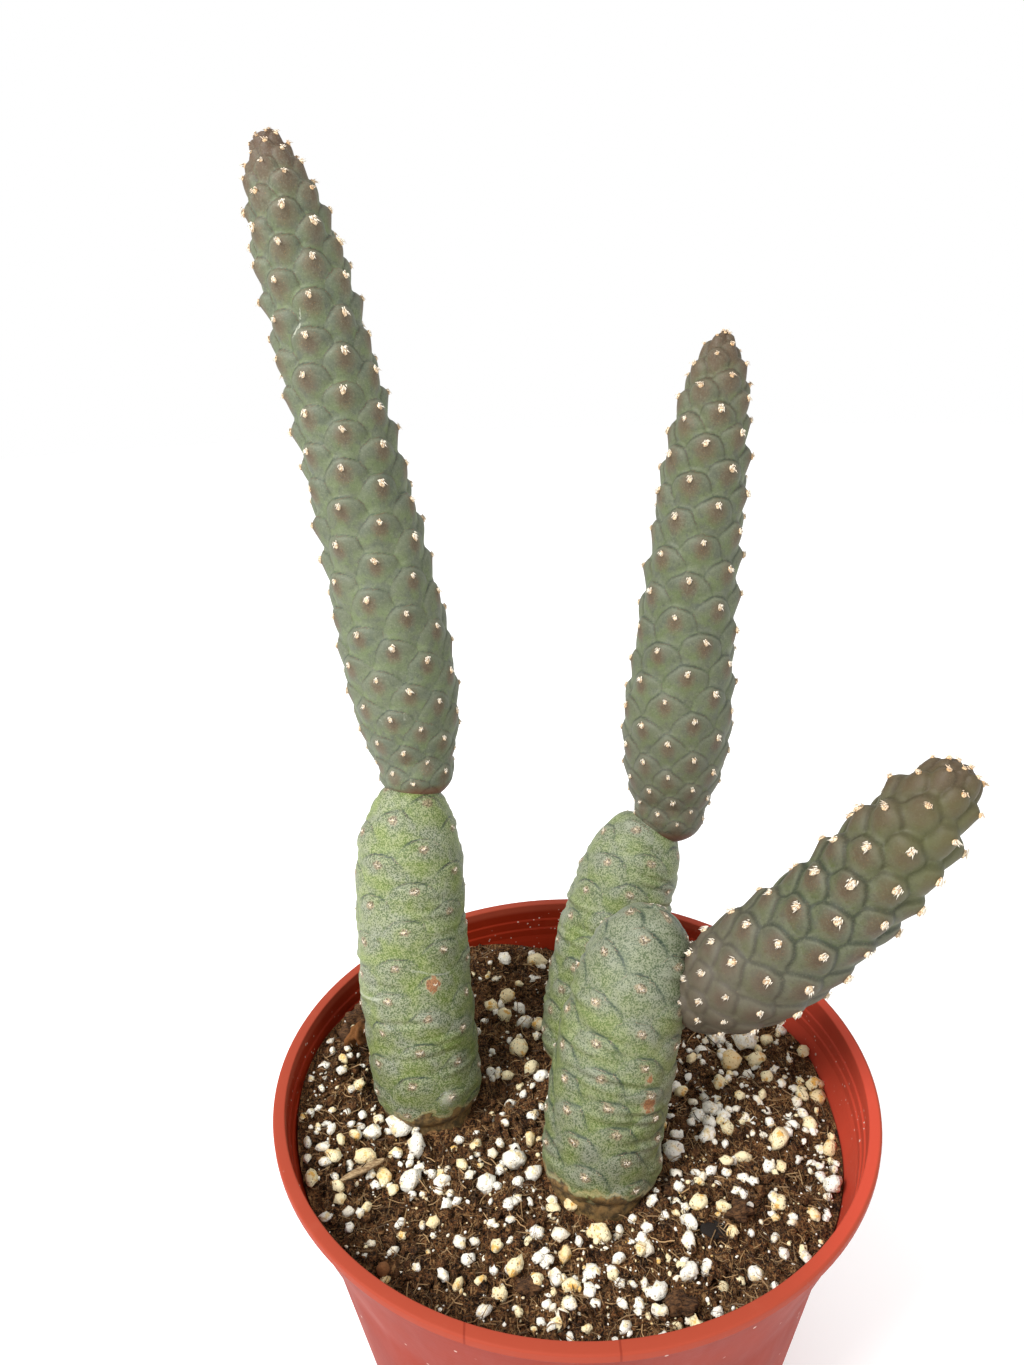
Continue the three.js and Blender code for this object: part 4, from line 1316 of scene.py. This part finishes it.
# %% Fibres
def fibre_shape(seed, thick, joints, bend):
    """A bent strand about one millimetre long, of a few short lengths with three sides."""
    rolls = random.Random(seed)
    made = bmesh.new()
    bmesh.ops.create_circle(made, cap_ends=True, segments=3, radius=thick)
    face = next(iter(made.faces))
    aim = Vector((0, 0, 1))
    for _ in range(joints):
        grown = bmesh.ops.extrude_face_region(made, geom=[face])
        tip = [item for item in grown["geom"] if isinstance(item, bmesh.types.BMVert)]
        made.faces.remove(face)
        face = next(item for item in grown["geom"] if isinstance(item, bmesh.types.BMFace))
        aim = (aim + Vector((rolls.uniform(-1, 1), rolls.uniform(-1, 1) * bend, 0)) * 0.8).normalized()
        bmesh.ops.translate(made, verts=tip, vec=aim / joints)
    bmesh.ops.holes_fill(made, edges=made.edges, sides=3)
    bmesh.ops.recalc_face_normals(made, faces=made.faces)
    bmesh.ops.scale(made, vec=(MM, MM, MM), verts=made.verts)
    return kept_shape(made)


def strand(shape, margin, length, rise, luck):
    """A strand laid on the soil; close to the wall it points back to the middle."""
    x, y = free_spot(margin)
    height = float(soil_height(x, y)) + roughness(x, y)
    heading = chance.uniform(0, math.tau)
    if math.hypot(x, y) + length > room(height) - 1:
        heading = math.atan2(-x, y) + chance.uniform(-1, 1)
    lie = Matrix.Rotation(heading, 4, "Z") @ Matrix.Rotation(math.radians(rise), 4, "X")
    spot = Matrix.Translation(Vector((x, y, height + 0.3)) * MM)
    return (shape, spot @ lie @ Matrix.Scale(length, 4), luck)


SHORT_COUNT, LONG_COUNT = 7400, 260
short_strands = [fibre_shape(seed, 0.035, 2, 1) for seed in range(12)]
long_strands = [fibre_shape(seed, 0.014, 7, 0.25) for seed in range(40, 56)]
placings = []
for _ in range(SHORT_COUNT):
    length = 1.2 + 3.6 * chance.random() ** 3
    shape, rise = chance.choice(short_strands), chance.uniform(68, 96)
    placings.append(strand(shape, 1.2, length, rise, chance.random()))
for _ in range(LONG_COUNT):
    length = chance.uniform(5, 10)
    shape, rise = chance.choice(long_strands), chance.uniform(80, 92)
    placings.append(strand(shape, 4, length, rise, chance.uniform(0.5, 1)))
made, measures = joined(placings)

fibre = Finish("coir_fibre")
fibre_colour = fibre.mix(fibre.measure("luck") ** 1.4, paint(50, 32, 19), paint(176, 142, 98))
fibre.surface(Base_Color=fibre_colour, Roughness=fibre.noise(0.8) * 0.3 + 0.5)
make_piece("coir_fibres", made, fibre, smooth=False, measures=measures)

# %% [markdown]
# ### Odd things on the soil
# A chip of wood, a round brown seed husk, a dark flake of bark, and clods of peat, most of them
# near the wall. Their order also gives each its colour, through the number kept on its points.

# %% Odd things
ODD_THINGS = [  # x, y, lift, length, width, thickness, turn in degrees, tip in degrees
    (-54, -20.6, 2.6, 13.5, 2.2, 1.8, 33, 2),
    (-46.1, -45.4, 0.9, 3.2, 3.1, 3.1, 0, 0),
    (31, -37, 0.4, 7, 5, 1.2, 10, 8),
    (-60, 21, 1.8, 8, 4, 6, 60, 30),
    (-60.2, 28, 2.4, 8, 6.5, 8, 20, 0),
    (-57.8, 32.8, 2.1, 7, 6, 7, 70, 0),
    (-63.6, 21.4, 1.35, 5, 4.5, 4.5, 0, 0),
    (-13, -49.5, 0.9, 5, 4, 3, 0, 0),
    (38, -33, 1.2, 6, 5, 4, 30, 0),
    (20, -55, 1.2, 6, 5, 4, 0, 0),
]
placings = []
for index, (x, y, lift, length, width, thick, turn_by, tip_by) in enumerate(ODD_THINGS):
    spot = Matrix.Translation(Vector((x, y, float(soil_height(x, y)) + lift)) * MM)
    lie = Matrix.Rotation(math.radians(turn_by), 4, "Z") @ Matrix.Rotation(math.radians(tip_by), 4, "Y")
    jag = 0.15 if index < 3 else 0.9  # the first three are smooth, the clods are ragged
    shape = lump_shape(400 + index, 3, jag, (1, 1, 1))
    placings.append((shape, spot @ lie @ Matrix.Diagonal((length, width, thick, 1)), index / 10))
made, measures = joined(placings)

debris = Finish("woody_debris")
fibrous = debris.noise(0.5, 4, stretch=(0.3, 1, 1), rough=0.7)
chosen = debris.measure("luck")
debris.colour = debris.mix(fibrous.step(0.35, 0.65), paint(40, 25, 15), paint(104, 72, 44))
stick_colour = debris.mix(fibrous.step(0.35, 0.65), paint(120, 92, 62), paint(190, 164, 126))
debris.coat(chosen.step(0.06, 0.04), stick_colour)
debris.coat(chosen.bell(0.1, 0.03), paint(128, 84, 50))
debris.coat(chosen.bell(0.2, 0.03), paint(34, 28, 24))
debris.coat(chosen.bell(0.3, 0.03), paint(122, 78, 40))
debris.bump(fibrous, 0.6)
debris.surface(Base_Color=debris.colour, Roughness=0.85, Specular_IOR_Level=0.25)
make_piece("woody_debris", made, debris, measures=measures)

# %% [markdown]
# ### Room between the loose pieces and the outside of the pot
# The wall is 1.25 mm thick. A clod or a strand that came out through it would show from outside, so
# the room between each loose piece and the outside of the wall is measured.


# %% Room to the outside of the pot
def room_outside(name):
    """Least distance in millimetres from a piece to the outside of the pot's wall."""
    x, y, z = points_of(bpy.data.objects[name].data)
    wall_heights = [0, COLLAR_Z, POT_HEIGHT - LIP_DEPTH, POT_HEIGHT]
    wall = np.interp(z, wall_heights, [FOOT_RADIUS, COLLAR_RADIUS, RIM_RADIUS - LIP_STEP, RIM_RADIUS])
    return float((wall - np.hypot(x, y)).min())


for name in ("peat_bed", "peat_crumbs", "coir_fibres", "perlite_grains", "pumice_grains", "woody_debris"):
    print(name, "to the outside of the pot", round(room_outside(name), 2))

# %% [markdown]
# ## Sizes and the end
# The box of the CAD model and the box of the dressed one are printed.

# %% Sizes
dressed_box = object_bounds()
sizes = {
    "cad": [[float(v) for v in corner] for corner in cad_box],
    "visual": [[float(v) for v in corner] for corner in dressed_box],
}
for name, box in sizes.items():
    print(name, [[round(v * 1000, 1) for v in corner] for corner in box])
